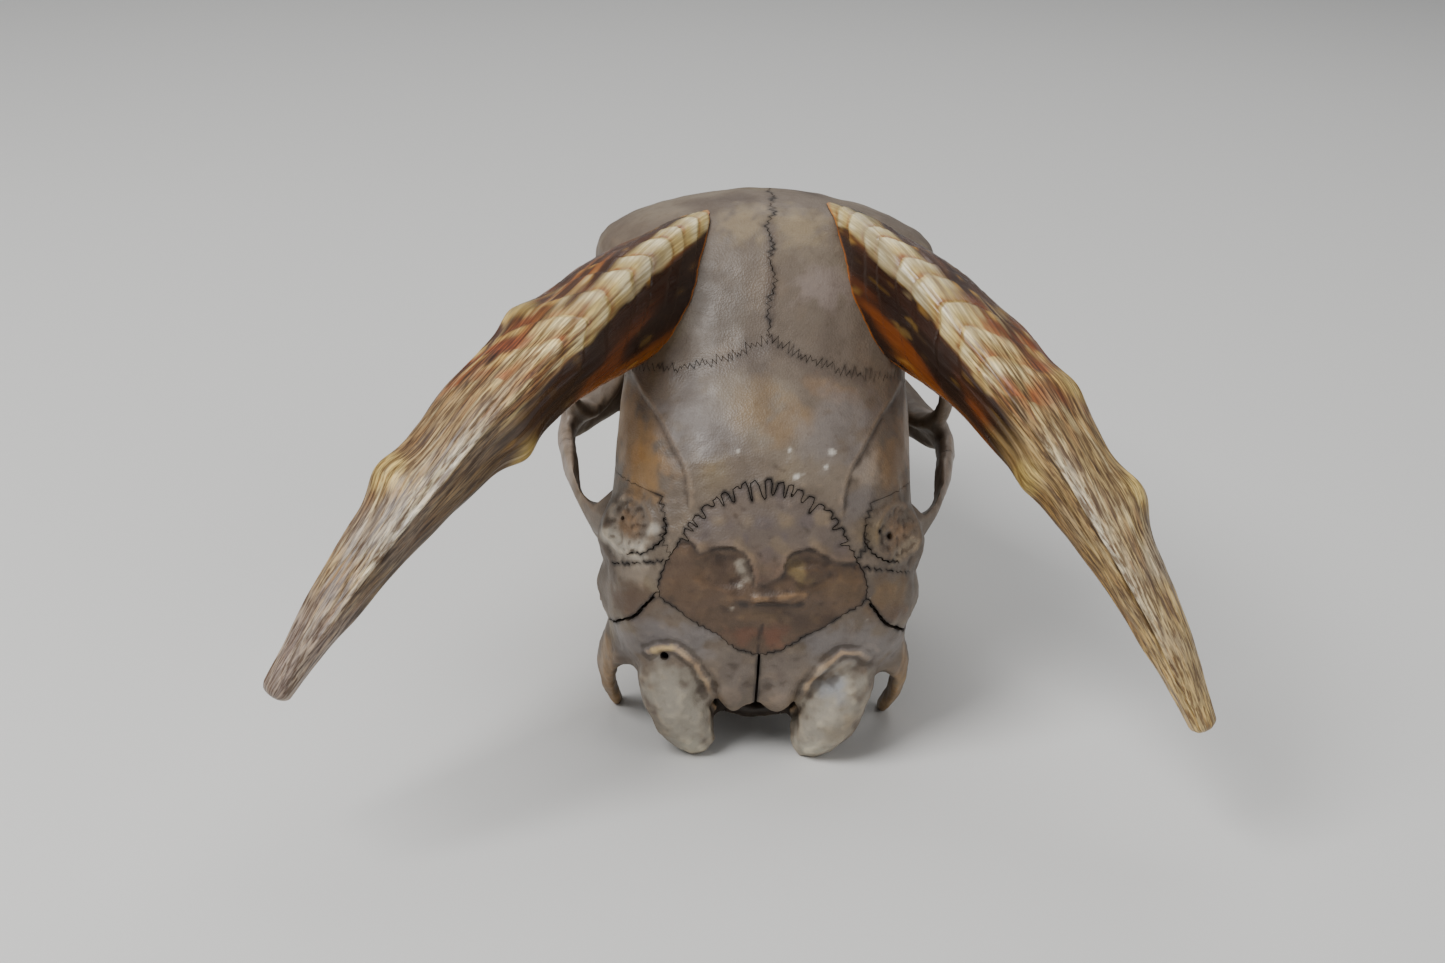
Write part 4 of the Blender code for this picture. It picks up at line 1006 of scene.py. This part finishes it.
def surfaced(tree, colour, roughness, ior, height, strength, depth):
    """Fills the shader in. Roughness is a value or a ramp, and depth is the relief's, in metres."""
    if isinstance(roughness, tuple):
        ranged = dict(zip(RANGE_SOCKETS, roughness))
        roughness = node(tree, "ShaderNodeMapRange", ranged, interpolation_type="SMOOTHSTEP")["Result"]
    relief = node(tree, "ShaderNodeBump", {"Strength": strength, "Distance": depth, "Height": height})
    plugged(tree, tree.nodes[SHADER], {
        "Base Color": colour, "Roughness": roughness, "IOR": ior, "Normal": relief["Normal"],
    })


def dry_bone():
    """Dry cleaned bone, macerated and handled: smooth, faintly waxy, grimy in pores and sutures, with painted
    shade in hollows and a painted highlight on ridges.
    """
    material, tree = new_material("dry_bone")
    place = node(tree, "ShaderNodeTexCoord")["Object"]
    tint, suture, hollow = (
        node(tree, "ShaderNodeAttribute", attribute_name=name)[socket]
        for name, socket in (("tint", "Color"), ("suture", "Fac"), ("hollow", "Fac"))
    )
    # Cloudy staining about 6 mm across, mottling about 1.4 mm, and pores about 0.4 mm
    clouds = {"Vector": place, "Scale": 170.0, "Detail": 4.0, "Roughness": 0.55}
    cloud = node(tree, "ShaderNodeTexNoise", clouds)["Fac"]
    mottle = node(tree, "ShaderNodeTexNoise", {"Vector": place, "Scale": 700.0, "Detail": 3.0})["Fac"]
    pores = node(tree, "ShaderNodeTexVoronoi", {"Vector": place, "Scale": 2400.0})["Distance"]
    colour = layered(tree, tint, (
        (cloud, 0.48, 0.76, 0.0, 0.60, None, "MULTIPLY", (0.66, 0.61, 0.57)),
        (cloud, 0.26, 0.48, 0.60, 0.0, None, "MULTIPLY", (1.30, 1.27, 1.22)),
        (mottle, 0.52, 0.78, 0.0, 0.42, None, "MULTIPLY", (0.62, 0.56, 0.50)),
        (mottle, 0.22, 0.44, 0.40, 0.0, None, "MULTIPLY", (1.24, 1.22, 1.18)),
        (pores, 0.05, 0.26, 0.24, 0.0, None, "MULTIPLY", (0.48, 0.41, 0.35)),
        # Painted shade darkens the hollows and a painted highlight lightens the ridges
        (hollow, 0.55, 0.95, 0.0, 0.75, None, "MULTIPLY", (0.36, 0.30, 0.25)),
        (hollow, 0.05, 0.42, 0.70, 0.0, None, "MULTIPLY", (1.45, 1.40, 1.32)),
        (suture, 0.0, 1.0, 0.9, 0.0, None, "MIX", "#20160F"),
    ))
    height = node(tree, "ShaderNodeMath", {0: mottle, 1: pores}, operation="ADD")[0]
    surfaced(tree, colour, (cloud, 0.3, 0.7, 0.42, 0.60), 1.52, height, 0.28, 0.00018)
    return material


def tooth_enamel(sizes):
    """Tooth enamel, worn by grazing: hard, glossy and ivory, with brown tartar near the gum."""
    material, tree = new_material("tooth_enamel")
    place = node(tree, "ShaderNodeTexCoord")["Object"]
    # Stains about 3 mm across
    stains = {"Vector": place, "Scale": 330.0, "Detail": 4.0, "Roughness": 0.6}
    stain = node(tree, "ShaderNodeTexNoise", stains)["Fac"]
    gum = node(tree, "ShaderNodeAttribute", attribute_name="gum")["Fac"]
    colour = layered(tree, shade(sizes.colour), (
        (stain, 0.40, 0.80, 0.0, 0.55, None, "MIX", "#98855F"),
        (gum, 0.3, 1.0, 0.0, 0.8, None, "MIX", sizes.tartar),
    ))
    surfaced(tree, colour, 0.30, 1.62, stain, 0.25, 0.0001)
    return material


def horn_keratin():
    """Horn keratin, grown in nested cones and worn smooth: streaked, half glossy, finely fibrous."""
    material, tree = new_material("horn_keratin")
    grain, tint, frayed, rim = (
        node(tree, "ShaderNodeAttribute", attribute_name=name)[socket]
        for name, socket in (("grain", "Vector"), ("tint", "Color"), ("frayed", "Fac"), ("suture", "Fac"))
    )
    # Fibres about 0.45 mm wide and 12 mm long, broken ones 4 mm long, and bundles about 1 mm wide
    fibre, broken, bundle = (
        node(tree, "ShaderNodeTexNoise", {
            "Vector": node(tree, "ShaderNodeMapping", {"Vector": grain, "Scale": scale})["Vector"],
            "Scale": 1.0, "Detail": detail, "Roughness": roughness, "Distortion": wander,
        })["Fac"]
        for scale, detail, roughness, wander in (
            ((2.2, 2.2, 0.085), 2.5, 0.60, 0.15),
            ((2.6, 2.6, 0.25), 2.0, 0.5, 0.0),
            ((1.0, 1.0, 0.04), 4.0, 0.5, 0.3),
        )
    )
    colour = layered(tree, tint, (
        (bundle, 0.50, 0.70, 0.0, 0.34, None, "MULTIPLY", (0.52, 0.42, 0.34)),
        (bundle, 0.32, 0.50, 0.35, 0.0, frayed, "MULTIPLY", (1.35, 1.30, 1.15)),
        (fibre, 0.51, 0.59, 0.0, 0.90, frayed, "MULTIPLY", (0.36, 0.27, 0.20)),
        (fibre, 0.41, 0.48, 0.90, 0.0, frayed, "MULTIPLY", (1.80, 1.76, 1.62)),
        (broken, 0.55, 0.66, 0.0, 0.85, frayed, "MULTIPLY", (0.50, 0.38, 0.28)),
        (rim, 0.0, 0.8, 0.8, 0.0, None, "MIX", "#A55F22"),
    ))
    height = node(tree, "ShaderNodeMath", {0: fibre, 1: bundle}, operation="ADD")[0]
    surfaced(tree, colour, (frayed, 0.0, 1.0, 0.24, 0.44), 1.55, height, 0.45, 0.00022)
    return material


# Horn sheaths, one entry a side: where the axis leaves the skull, compass heading away
# from the midline, climb at the base and at the tip, and length along the curve. Each
# swelling is its place along the horn, its angle from the keel, its height and half length.
HORNS = {
    "horn_left": dict(
        side=-1, base=(16.0, 65.0, 85.0), heading=36.0, climb=(31.0, -34.0), length=126.0,
        swellings=((0.67, 85.0, 2.0, 0.035), (0.50, 250.0, 2.2, 0.035), (0.34, 110.0, 1.2, 0.03)),
    ),
    "horn_right": dict(
        side=1, base=(16.8, 67.0, 85.8), heading=35.0, climb=(33.0, -45.0), length=122.5,
        swellings=((0.65, 105.0, 2.2, 0.04), (0.55, 285.0, 1.2, 0.03), (0.46, 105.0, 1.6, 0.04)),
    ),
}
HORN_HALF_DEPTH = (14.5, 13.6, 12.2, 10.6, 8.2, 5.4, 2.8)
HORN_HALF_WIDTH = (11.0, 10.4, 9.4, 8.4, 6.8, 4.8, 2.6)
HORN_KEEL_LEAN = (8.0, 34.0, 42.0, 44.0)
HORN_KEEL_PINCH = (0.55, 0.45, 0.36, 0.28)
HORN_DROOP_RATE = 0.55
# The share of the sphere that rounds off either end
HORN_CAP = 0.02
HORN_SAMPLES = 1200
HORN_STEPS = 38
HORN_STEP_CROWDING = 1.3
# Where each growth ring's edge crosses the keel, as a share of the length
RING_PLACES = (
    -0.04, -0.008, 0.030, 0.058, 0.100, 0.132, 0.182, 0.219, 0.276, 0.332, 0.388, 0.46, 0.55,
)
RING_SWEEP = 2.6
RING_REACH = 0.50
RING_BACK = 0.22
SWELLING_ARC = math.radians(42.0)


def along(values, t):
    return np.interp(t, np.linspace(0, 1, len(values)), values)


def ring_phase(t, angle, spec):
    """Counts growth rings: a whole number at each ring's edge, which sweeps to the tip away from the keel."""
    back = RING_SWEEP * (np.degrees(np.abs(angle)) / 45) ** 1.6 / spec["length"]
    wave = 0.09 * np.sin(3 * angle + 20 * t) + 0.05 * np.sin(7 * angle - 43 * t + 2 * spec["side"])
    return np.interp(t - back, RING_PLACES, np.arange(len(RING_PLACES))) + wave


def ring_relief(t, angle, spec, height):
    """Each older cone's edge stands proud towards the base and sinks towards the tip."""
    phase = ring_phase(t, angle, spec)
    share = phase % 1.0
    profile = soft_step(share, 0.0, 0.16) * (1 - share) ** 0.9
    own = 0.72 + 0.42 * np.sin(np.floor(phase) * 2.4 + spec["side"])
    around = RING_BACK + (1 - RING_BACK) * np.clip(np.cos(angle), 0, 1) ** 1.2
    return height * own * around * (profile - 0.42) * soft_step(-t, -RING_REACH, -RING_REACH * 0.55)


def crack_angle(t):
    """Where the crack beside the keel line runs, in degrees from the keel."""
    return -15.0 - 3.0 * np.sin(9 * t)


def fibre_relief(t, angle, grain, spec):
    """Lengthwise bundles of fibres, a crisp keel line and the crack beside it towards the tip."""
    stretched = grain * [1.0, 1.0, 0.06]
    distal = soft_step(t, 0.30, 0.50)
    rise = (0.05 + 0.10 * distal) * swells(stretched, 2.0, 41) + 0.05 * swells(stretched, 0.9, 42)
    turn = np.degrees(angle)
    rise += 0.5 * np.exp(-(((turn + 7.0) / 6.5) ** 2)) * distal * soft_step(-t, -0.98, -0.85)
    crack = np.exp(-(((turn - crack_angle(t)) / 4.0) ** 2)) * soft_step(t, 0.46, 0.56)
    return rise - (0.45 if spec["side"] > 0 else 0.2) * crack + 0.16 * swells(grain * [1, 1, 0.5], 7.0, 43)


def painted_horn(t, angle, grain, spec, sizes):
    """The sheath's colour at each point, with painted highlights and painted shade, and how frayed its fibres
    are there.
    """
    side = spec["side"]
    left = side < 0
    turn = np.degrees(angle)
    streak, patch, small, thread = (
        swells(grain * [1.0, 1.0, stretch], size, seed + side)
        for stretch, size, seed in ((0.10, 3.6, 51), (0.45, 9.0, 61), (0.3, 2.4, 71), (0.05, 1.2, 91))
    )
    small = np.clip(small, -1.8, 1.8)
    share = ring_phase(t, angle, spec) % 1.0
    # The top of each ring gets a painted highlight and its edge a painted shadow
    top = soft_step(share, 0.04, 0.20) * soft_step(-share, -0.72, -0.25)
    edge = soft_step(share, 0.74, 0.95)
    inner = soft_step(-turn, 26, 44) * soft_step(-t, -0.60, -0.44)
    flame = inner * soft_step(-turn, 50, 80) * soft_step(patch + 0.5 * streak, -0.2, 0.9)
    amber = soft_step(-turn, 88, 112) * soft_step(t, 0.08, 0.20) * soft_step(-t, -0.64, -0.52)
    flecks = np.maximum(amber, 0.3 * inner) * soft_step(small, 0.8, 1.8)
    tint = laid_over(
        plain(sizes.outer, len(t)),
        # Outer face: dark brown with amber streaks, blackish at the base, and yellow flecks laid as painted
        # highlight on the rings' tops
        ("#935620", soft_step(streak + 0.4 * patch, 0.0, 1.3) * 0.8),
        ("#26150C", soft_step(patch - 0.4 * streak, 0.0, 1.1) * 0.85),
        ("#1F120B", soft_step(-t, -0.14, -0.04) * 0.6),
        ("#C29242", top * soft_step(small, 0.4, 1.5) * soft_step(-turn, -95, -50) * 0.75),
        # Inner face: nearly black brown, partly its own colour and partly painted shade, with amber flames
        # and an amber lower edge
        ("#311A10", inner * 0.95),
        ("#1B0F0A", inner * soft_step(-patch, -0.2, 0.9) * 0.7),
        ("#834213", flame * (0.45 if left else 0.75)),
        ("#AC6420", amber * soft_step(streak + 0.6 * patch, -0.9, 0.2) * (0.5 if left else 0.9)),
        ("#CFA24C", flecks * (0.3 if left else 0.6)),
    )
    # Keel band: cream cones, sharp towards the inner face and streaky towards the outer one, each with a
    # painted highlight on its top and a painted shadow at its edge
    low = np.interp(t, [0.0, 0.2], [-26, -33]) + 3 * small
    high = np.interp(t, [0.0, 0.12, 0.3, 0.5], [20, 28, 44, 58]) + 8 * streak
    band = soft_step(turn - low, -3, 3) * soft_step(high - turn, -10, 10) * soft_step(-t, -0.54, -0.34)
    middle = soft_step(t, 0.24, 0.36) * soft_step(-t, -0.60, -0.48) * soft_step(turn, -38, -28)
    cross = middle * soft_step(share, 0.35, 0.75) * soft_step(turn, -26, 10)
    outer = middle * soft_step(turn, 15, 60)
    tint = laid_over(
        tint,
        (sizes.keel, band * 0.92),
        ("#DFD3A8", band * top * (0.6 + 0.3 * small)),
        ("#87552A", band * edge * np.clip(0.7 + 0.3 * small, 0.25, 1.0)),
        ("#84683F", band * soft_step(thread, 0.2, 1.4) * 0.6),
        ("#A29C88", band * soft_step(patch, 0.5, 1.3) * 0.45),
        # Middle: brown, amber and cream threads; on the outer side a painted highlight in yellow on the
        # rings' tops, and brown between them that is partly painted shade
        ("#7F5028", middle * soft_step(thread + 0.7 * patch, -0.6, 0.9) * 0.75),
        ("#CDB680", middle * soft_step(0.8 * small - thread, 0.1, 1.5) * 0.65),
        ("#84451D", cross * soft_step(patch + 0.6 * small, -1.3, 0.4) * 0.82),
        ("#64321A", outer * (1 - top) * soft_step(patch, -0.7, 0.6) * 0.7),
        ("#BF9A52", outer * top * soft_step(small, -0.5, 0.9) * 0.7),
    )
    # Tip half: golden and grey fibres, brown below the crack, a whitish painted highlight above it and
    # painted shade on the underside
    distal = soft_step(t + 0.03 * streak, 0.44, 0.58)
    above = turn - crack_angle(t)
    below = soft_step(-above, -1, 5) * distal * soft_step(-t, -0.96, -0.84)
    underside_shade = soft_step(-turn, 40, 80) * distal
    tip_highlight = soft_step(above, 0, 5) * np.exp(-((above / 30) ** 2))
    tip_highlight = tip_highlight * soft_step(t, 0.50, 0.62) * soft_step(-t, -0.92, -0.70)
    line = np.exp(-((above / 3.0) ** 2)) * soft_step(t, 0.46, 0.56) * soft_step(-t, -0.98, -0.90)
    tint = laid_over(
        tint,
        (sizes.fibre if left else "#978055", distal * 0.92),
        ("#614429", distal * soft_step(thread + 0.5 * streak, 0.1, 1.4) * 0.7),
        ("#BFAF88", distal * soft_step(-thread, 0.1, 1.4) * 0.55),
        ("#827B75", distal * soft_step(patch, 0.3, 1.3) * 0.45),
        ("#4A3726" if left else "#84693C", below * (0.55 if left else 0.5)),
        ("#3F2D1E" if left else "#7F6238", underside_shade * 0.65),
        ("#D2CBB8", tip_highlight * (0.66 + 0.14 * small)),
        ("#352417", line * (0.4 if left else 0.75)),
    )
    for place, middle_turn, rise, reach in spec["swellings"]:
        aside = (turn - middle_turn + 180) % 360 - 180
        spot = np.exp(-(((t - place) / reach) ** 2) - (aside / 40.0) ** 2)
        tint = laid_over(tint, ("#BFA55E", soft_step(spot, 0.25, 0.8) * 0.65))
    tint = laid_over(tint, ("#7F716B" if left else "#A78D58", soft_step(t, 0.80, 0.93) * 0.7))
    frayed = np.clip(0.10 + 0.25 * band + 0.85 * soft_step(t, 0.28, 0.46), 0, 1) * (1 - 0.75 * inner)
    return tint, frayed


def horn_sheath(name, spec, sizes):
    """A keeled, ringed sheath swept along its falling arc, from a sphere's rings."""
    heading = math.radians(spec["heading"])
    out = np.array([math.sin(heading), -math.cos(heading), 0.0])
    low, high = spec["climb"]
    steps = [(k / (HORN_STEPS - 1)) ** HORN_STEP_CROWDING for k in range(HORN_STEPS)]
    here = np.array(spec["base"], float)
    axis = []
    for t, after in zip(steps, steps[1:] + [1.0]):
        climb = math.radians(low + (high - low) * t**HORN_DROOP_RATE)
        axis.append(here.copy())
        here += (out * math.cos(climb) + np.array([0, 0, math.sin(climb)])) * spec["length"] * (after - t)
    fine = smooth_points(axis, HORN_SAMPLES)
    fine_t = np.linspace(0, 1, HORN_SAMPLES) ** HORN_STEP_CROWDING

    sheath, share, angle = ringed_ball(sizes.segments, sizes.rings)
    sheath.name = name + "_sheath"
    t = np.clip((share - HORN_CAP) / (1 - 2 * HORN_CAP), 0, 1)
    before = np.clip(HORN_CAP - share, 0, 1) / HORN_CAP
    after = np.clip(share - (1 - HORN_CAP), 0, 1) / HORN_CAP
    full = np.sqrt(np.clip(1 - before**2, 0, 1)) * np.sqrt(np.clip(1 - after**2, 0, 1))
    beyond = after * 1.6 - before
    middle = np.stack([np.interp(t, fine_t, fine[:, i]) for i in range(3)], axis=1)
    climb = np.radians(low + (high - low) * t**HORN_DROOP_RATE)
    ahead = out * np.cos(climb)[:, None] + np.sin(climb)[:, None] * np.array([0, 0, 1.0])
    level = np.cross(ahead, [0, 0, 1.0])
    level /= np.linalg.norm(level, axis=1)[:, None]
    lift = np.cross(level, ahead)
    lean = np.radians(along(HORN_KEEL_LEAN, t))[:, None]
    keel = lift * np.cos(lean) + level * np.sin(lean)
    across = np.cross(keel, ahead)
    deep = along(HORN_HALF_DEPTH, t) * np.cos(angle)
    wide = along(HORN_HALF_WIDTH, t) * np.sin(angle) * (1 - along(HORN_KEEL_PINCH, t) * np.cos(angle))
    grain = np.stack([deep, wide, t * spec["length"]], axis=1)
    lump = ring_relief(t, angle, spec, sizes.ring_height) + fibre_relief(t, angle, grain, spec)
    for place, turn, rise, reach in spec["swellings"]:
        aside = (angle - math.radians(turn) + math.pi) % (2 * math.pi) - math.pi
        lump += rise * np.exp(-(((t - place) / reach) ** 2) - (aside / SWELLING_ARC) ** 2)
    deep = (deep + lump * np.cos(angle)) * full
    wide = (wide + lump * np.sin(angle)) * full
    points = middle + keel * deep[:, None] + across * wide[:, None] + ahead * beyond[:, None]
    points[:, 0] *= spec["side"]
    set_points(sheath.data, points)
    faces_outward(sheath)
    tint, frayed = painted_horn(t, angle, grain, spec, sizes)
    return sheath, points, dict(grain=grain, tint=tint, frayed=frayed)


# Teeth


def crown_form(lobes):
    """A cheek tooth one unit long, wide and high: root, lobes and folded chewing face."""
    made, share, a = ringed_ball(64, 40)
    pinch = 1 - LOBE_PINCH * (1 + np.cos(2 * lobes * a)) * (lobes - 1)
    full = np.interp(share, [0, 0.08, 0.5, 0.66, 0.72, 1.0], [0, 0.86, 1.0, 0.95, 0.88, 0.0])
    z = np.interp(share, [0, 0.08, 0.3, 0.68, 0.72, 1.0], [1.0, 1.0, 0.0, -0.97, -1.0, -0.86])
    edge = CHEWING_SLOPE * np.sin(a) * full - CHEWING_CUSPS * np.cos(2 * lobes * a) * full
    z = z - edge * np.clip((share - 0.3) / 0.4, 0, 1)
    x, y = 0.5 * full * pinch * squared(np.sin(a)), 0.5 * full * squared(np.cos(a))
    set_points(made.data, np.stack([x, y, z], axis=1))
    faces_outward(made)
    return made


def tooth(form, name, side, start, length, width, height):
    """A copy of the crown form, sized and set in the row."""
    made = new_object(name, form.data.copy())
    x, y, z = points_of(made.data).T
    y = start + length * (0.5 + y)
    z = np.where(z > 0, z * TOOTH_ROOT, z * height)
    set_points(made.data, np.stack([side * (row_arc(y) + width * x), y, z], axis=1))
    set_values(made.data, "gum", np.clip(1 + z / (TARTAR_HEIGHT * height), 0, 1))
    faces_outward(made)
    return made


# Settings that a user may change


def colour_property(name, description, code):
    start = tuple(float(channel) for channel in linear(code))
    return FloatVectorProperty(name=name, description=description, subtype="COLOR", default=start)


class BoneSettings(bpy.types.PropertyGroup):
    voxel: FloatProperty(name="Voxel", description="Fineness of the surface, in mm", default=0.55, min=0.3)
    closing: FloatProperty(name="Closing", description="How far the bones swell to fuse, in mm", default=0.2)
    easing: IntProperty(name="Easing", description="Rounds of smoothing of the skin", default=24, min=0)
    suture: FloatProperty(name="Sutures", description="Share of the sutures' widths", default=1.0, min=0.5)
    colour: colour_property("Bone", "Clean bone between its stains", "#675A4D")
    brown: colour_property("Brown bone", "The stained middle bone of the occiput", "#54402F")


class HornSettings(bpy.types.PropertyGroup):
    ring_height: FloatProperty(name="Rings' height", description="Step at each, in mm", default=0.72, min=0.0)
    segments: IntProperty(name="Segments", description="Points round a sheath", default=144, min=24)
    rings: IntProperty(name="Rings", description="Points along a sheath", default=560, min=60)
    outer: colour_property("Outer face", "Dark horn near the base", "#472914")
    keel: colour_property("Keel", "Cream cones along the keel", "#BCA467")
    fibre: colour_property("Fibres", "Weathered outer half", "#88704C")


class ToothSettings(bpy.types.PropertyGroup):
    gap: FloatProperty(name="Gap", description="Space between neighbours, in mm", default=0.3, min=0.0)
    colour: colour_property("Enamel", "Clean enamel", "#BDB193")
    tartar: colour_property("Tartar", "Stain near the gum", "#4A3622")


class StageSettings(bpy.types.PropertyGroup):
    floor_width: FloatProperty(name="Floor width", description="Its side", default=6.0, unit="LENGTH")
    lens: FloatProperty(name="Lens", description="Focal length of the camera", default=50.0, unit="CAMERA")
    floor: colour_property("Floor", "Plain matt floor", "#DCDBD8")


SETTINGS = {"bones": BoneSettings, "horns": HornSettings, "teeth": ToothSettings, "stage": StageSettings}


# Operators

# A point of a piece that lies further than this from the uncut surface is on a cut
CUT_DEPTH = 1e-4
# How far grime spreads from a suture, and orange from a sheath's rim
GRIME_REACH = 0.75
RIM_REACH = 0.8
# The sheaths keep this far from the skull
SEAT_GAP = 0.2
# The smoothing that hollows are measured against, and the depth of the deepest one, for the painted shade in
# hollows and the painted highlight on ridges
HOLLOW_ROUNDS = 5
HOLLOW_EASE = 0.4
HOLLOW_DEPTH = 0.3
SENSOR_WIDTH = 36.0
NEAREST_SEEN = 0.01
CAMERA_PLACE = (-0.01662, -0.41536, 0.20701)
CAMERA_AIM = (0.0283, 0.92382, -0.38179)
CAMERA_ROLL = math.radians(2.4714)
LAMPS_AIM = (0, 0, 0.05)
# Each lamp's place, size and power
LAMPS = {
    "key": ((-0.55, -0.45, 0.85), 0.5, 11.5),
    "fill": ((0.8, -0.5, 0.5), 0.8, 2.6),
    "top": ((0.1, 0.5, 1.0), 0.9, 4.5),
}
SKY = (0.8, 0.82, 0.85, 1.0)
SKY_STRENGTH = 0.30


def hollows_of(points, mesh):
    """How deep each point lies among its neighbours: one half on a plain, one in a pit."""
    flat = eased(points, edges_of(mesh), HOLLOW_ROUNDS, grow=HOLLOW_EASE)
    depth = np.einsum("ij,ij->i", flat - points, normals_of(mesh))
    return np.clip(0.5 + depth / HOLLOW_DEPTH, 0, 1)


def from_cuts(points, far):
    """Distance of each point from the nearest one on a cut."""
    return nearest(tree_of(points[far > CUT_DEPTH]), points)[1]


class GOAT_OT_bones(bpy.types.Operator):
    """Makes the bones of the skull, parted along fine sutures"""

    bl_idname = "goat.bones"
    bl_label = "Bones"

    def execute(self, context):
        sizes = context.scene.goat_bones
        skull = fused_skull(sizes)
        sculpt(skull)
        uncut = points_of(skull.data)
        # How deep each point lies, for the painted shade in hollows and the painted highlight on ridges
        hollow = hollows_of(uncut, skull.data)
        new_object("horn_seat", skull.data.copy())
        cutter = engraving(skull)
        cut(skull, cutter, "DIFFERENCE")
        discard(cutter)
        bone = dry_bone()
        uncut_tree = tree_of(uncut)
        for name, piece in part_bones(skull, sizes).items():
            points = points_of(piece.data)
            near, far = nearest(uncut_tree, points)
            stain = 1 - np.clip(from_cuts(points, far) / GRIME_REACH, 0, 1)
            brown = name == "supraoccipital"
            set_values(piece.data, "suture", 1 - stain * suture_strength(points))
            set_values(piece.data, "hollow", hollow[near])
            set_values(piece.data, "tint", painted_bone(points, brown, sizes))
            finish_piece(piece, name, bone)
        return {"FINISHED"}


class GOAT_OT_horns(bpy.types.Operator):
    """Makes both horn sheaths and seats them on the skull"""

    bl_idname = "goat.horns"
    bl_label = "Horn sheaths"

    def execute(self, context):
        sizes = context.scene.goat_horns
        seat = bpy.data.objects["horn_seat"]
        set_points(seat.data, points_of(seat.data) + normals_of(seat.data) * SEAT_GAP)
        keratin = horn_keratin()
        for name, spec in HORNS.items():
            sheath, points, values = horn_sheath(name, spec, sizes)
            cut(sheath, seat, "DIFFERENCE")
            sheath = largest(sheath, name)[name]
            sheath.name = name + "_sheath"
            own = points_of(sheath.data)
            near, far = nearest(tree_of(points), own)
            for key, value in values.items():
                set_values(sheath.data, key, value[near])
            set_values(sheath.data, "suture", np.clip(from_cuts(own, far) / RIM_REACH, 0, 1))
            finish_piece(sheath, name, keratin)
        discard(seat)
        return {"FINISHED"}


class GOAT_OT_teeth(bpy.types.Operator):
    """Makes the cheek teeth of both sides"""

    bl_idname = "goat.teeth"
    bl_label = "Cheek teeth"

    def execute(self, context):
        sizes = context.scene.goat_teeth
        enamel = tooth_enamel(sizes)
        forms = {lobes: crown_form(lobes) for lobes in (1, 2)}
        for suffix, side in BOTH_SIDES:
            start = TOOTH_ROW_START
            for k, (length, width, height) in enumerate(TOOTH_ROW):
                form = forms[2 if length > LOBED_LENGTH else 1]
                name = f"cheek_tooth_{len(TOOTH_ROW) - k}{suffix}"
                finish_piece(tooth(form, name, side, start, length, width, height), None, enamel)
                start += length + sizes.gap
        discard(*forms.values())
        return {"FINISHED"}


class GOAT_OT_stage(bpy.types.Operator):
    """Sets the floor, the lights and the camera"""

    bl_idname = "goat.stage"
    bl_label = "Stage"

    def execute(self, context):
        settings = context.scene.goat_stage
        bpy.ops.mesh.primitive_plane_add(size=settings.floor_width, location=(0, 0, 0))
        floor = context.object
        floor.name = "floor"
        material, tree = new_material("matt_floor")
        plugged(tree, tree.nodes[SHADER], {"Base Color": shade(settings.floor), "Roughness": 0.8})
        floor.data.materials.append(material)

        camera = bpy.data.cameras.new("camera")
        camera.lens = settings.lens
        camera.sensor_width = SENSOR_WIDTH
        camera.clip_start = NEAREST_SEEN
        eye = new_object("camera", camera)
        ahead = Vector(CAMERA_AIM).normalized()
        level = ahead.cross(Vector((0, 0, 1))).normalized()
        above = level.cross(ahead)
        right = level * math.cos(CAMERA_ROLL) + above * math.sin(CAMERA_ROLL)
        up = above * math.cos(CAMERA_ROLL) - level * math.sin(CAMERA_ROLL)
        turned = Matrix((right, up, -ahead)).transposed().to_4x4()
        eye.matrix_world = Matrix.Translation(CAMERA_PLACE) @ turned
        context.scene.camera = eye

        for name, (place, size, power) in LAMPS.items():
            light = bpy.data.lights.new(name, "AREA")
            light.size = size
            light.energy = power
            lamp = new_object(name, light)
            lamp.location = place
            lamp.rotation_euler = (Vector(LAMPS_AIM) - Vector(place)).to_track_quat("-Z", "Y").to_euler()
        world = bpy.data.worlds.new("studio")
        world.use_nodes = True
        sky = world.node_tree.nodes["Background"]
        plugged(world.node_tree, sky, {"Color": SKY, "Strength": SKY_STRENGTH})
        context.scene.world = world
        return {"FINISHED"}


class GOAT_PT_panel(bpy.types.Panel):
    """Lists the skull's pieces"""

    bl_label = "Goat skull"
    bl_idname = "GOAT_PT_panel"
    bl_space_type = "VIEW_3D"
    bl_region_type = "UI"
    bl_category = "Goat skull"

    def draw(self, context):
        for piece in SETTINGS:
            settings = getattr(context.scene, "goat_" + piece)
            for key in settings.__annotations__:
                self.layout.prop(settings, key)
            self.layout.operator("goat." + piece)


CLASSES = (*SETTINGS.values(), GOAT_OT_bones, GOAT_OT_horns, GOAT_OT_teeth, GOAT_OT_stage, GOAT_PT_panel)


def register():
    for cls in CLASSES:
        bpy.utils.register_class(cls)
    for piece, settings in SETTINGS.items():
        setattr(bpy.types.Scene, "goat_" + piece, PointerProperty(type=settings))


def unregister():
    for piece in SETTINGS:
        delattr(bpy.types.Scene, "goat_" + piece)
    for cls in reversed(CLASSES):
        bpy.utils.unregister_class(cls)


def main():
    register()
    bpy.ops.goat.bones()
    bpy.ops.goat.horns()
    bpy.ops.goat.teeth()
    bpy.ops.goat.stage()


if __name__ == "__main__":
    main()
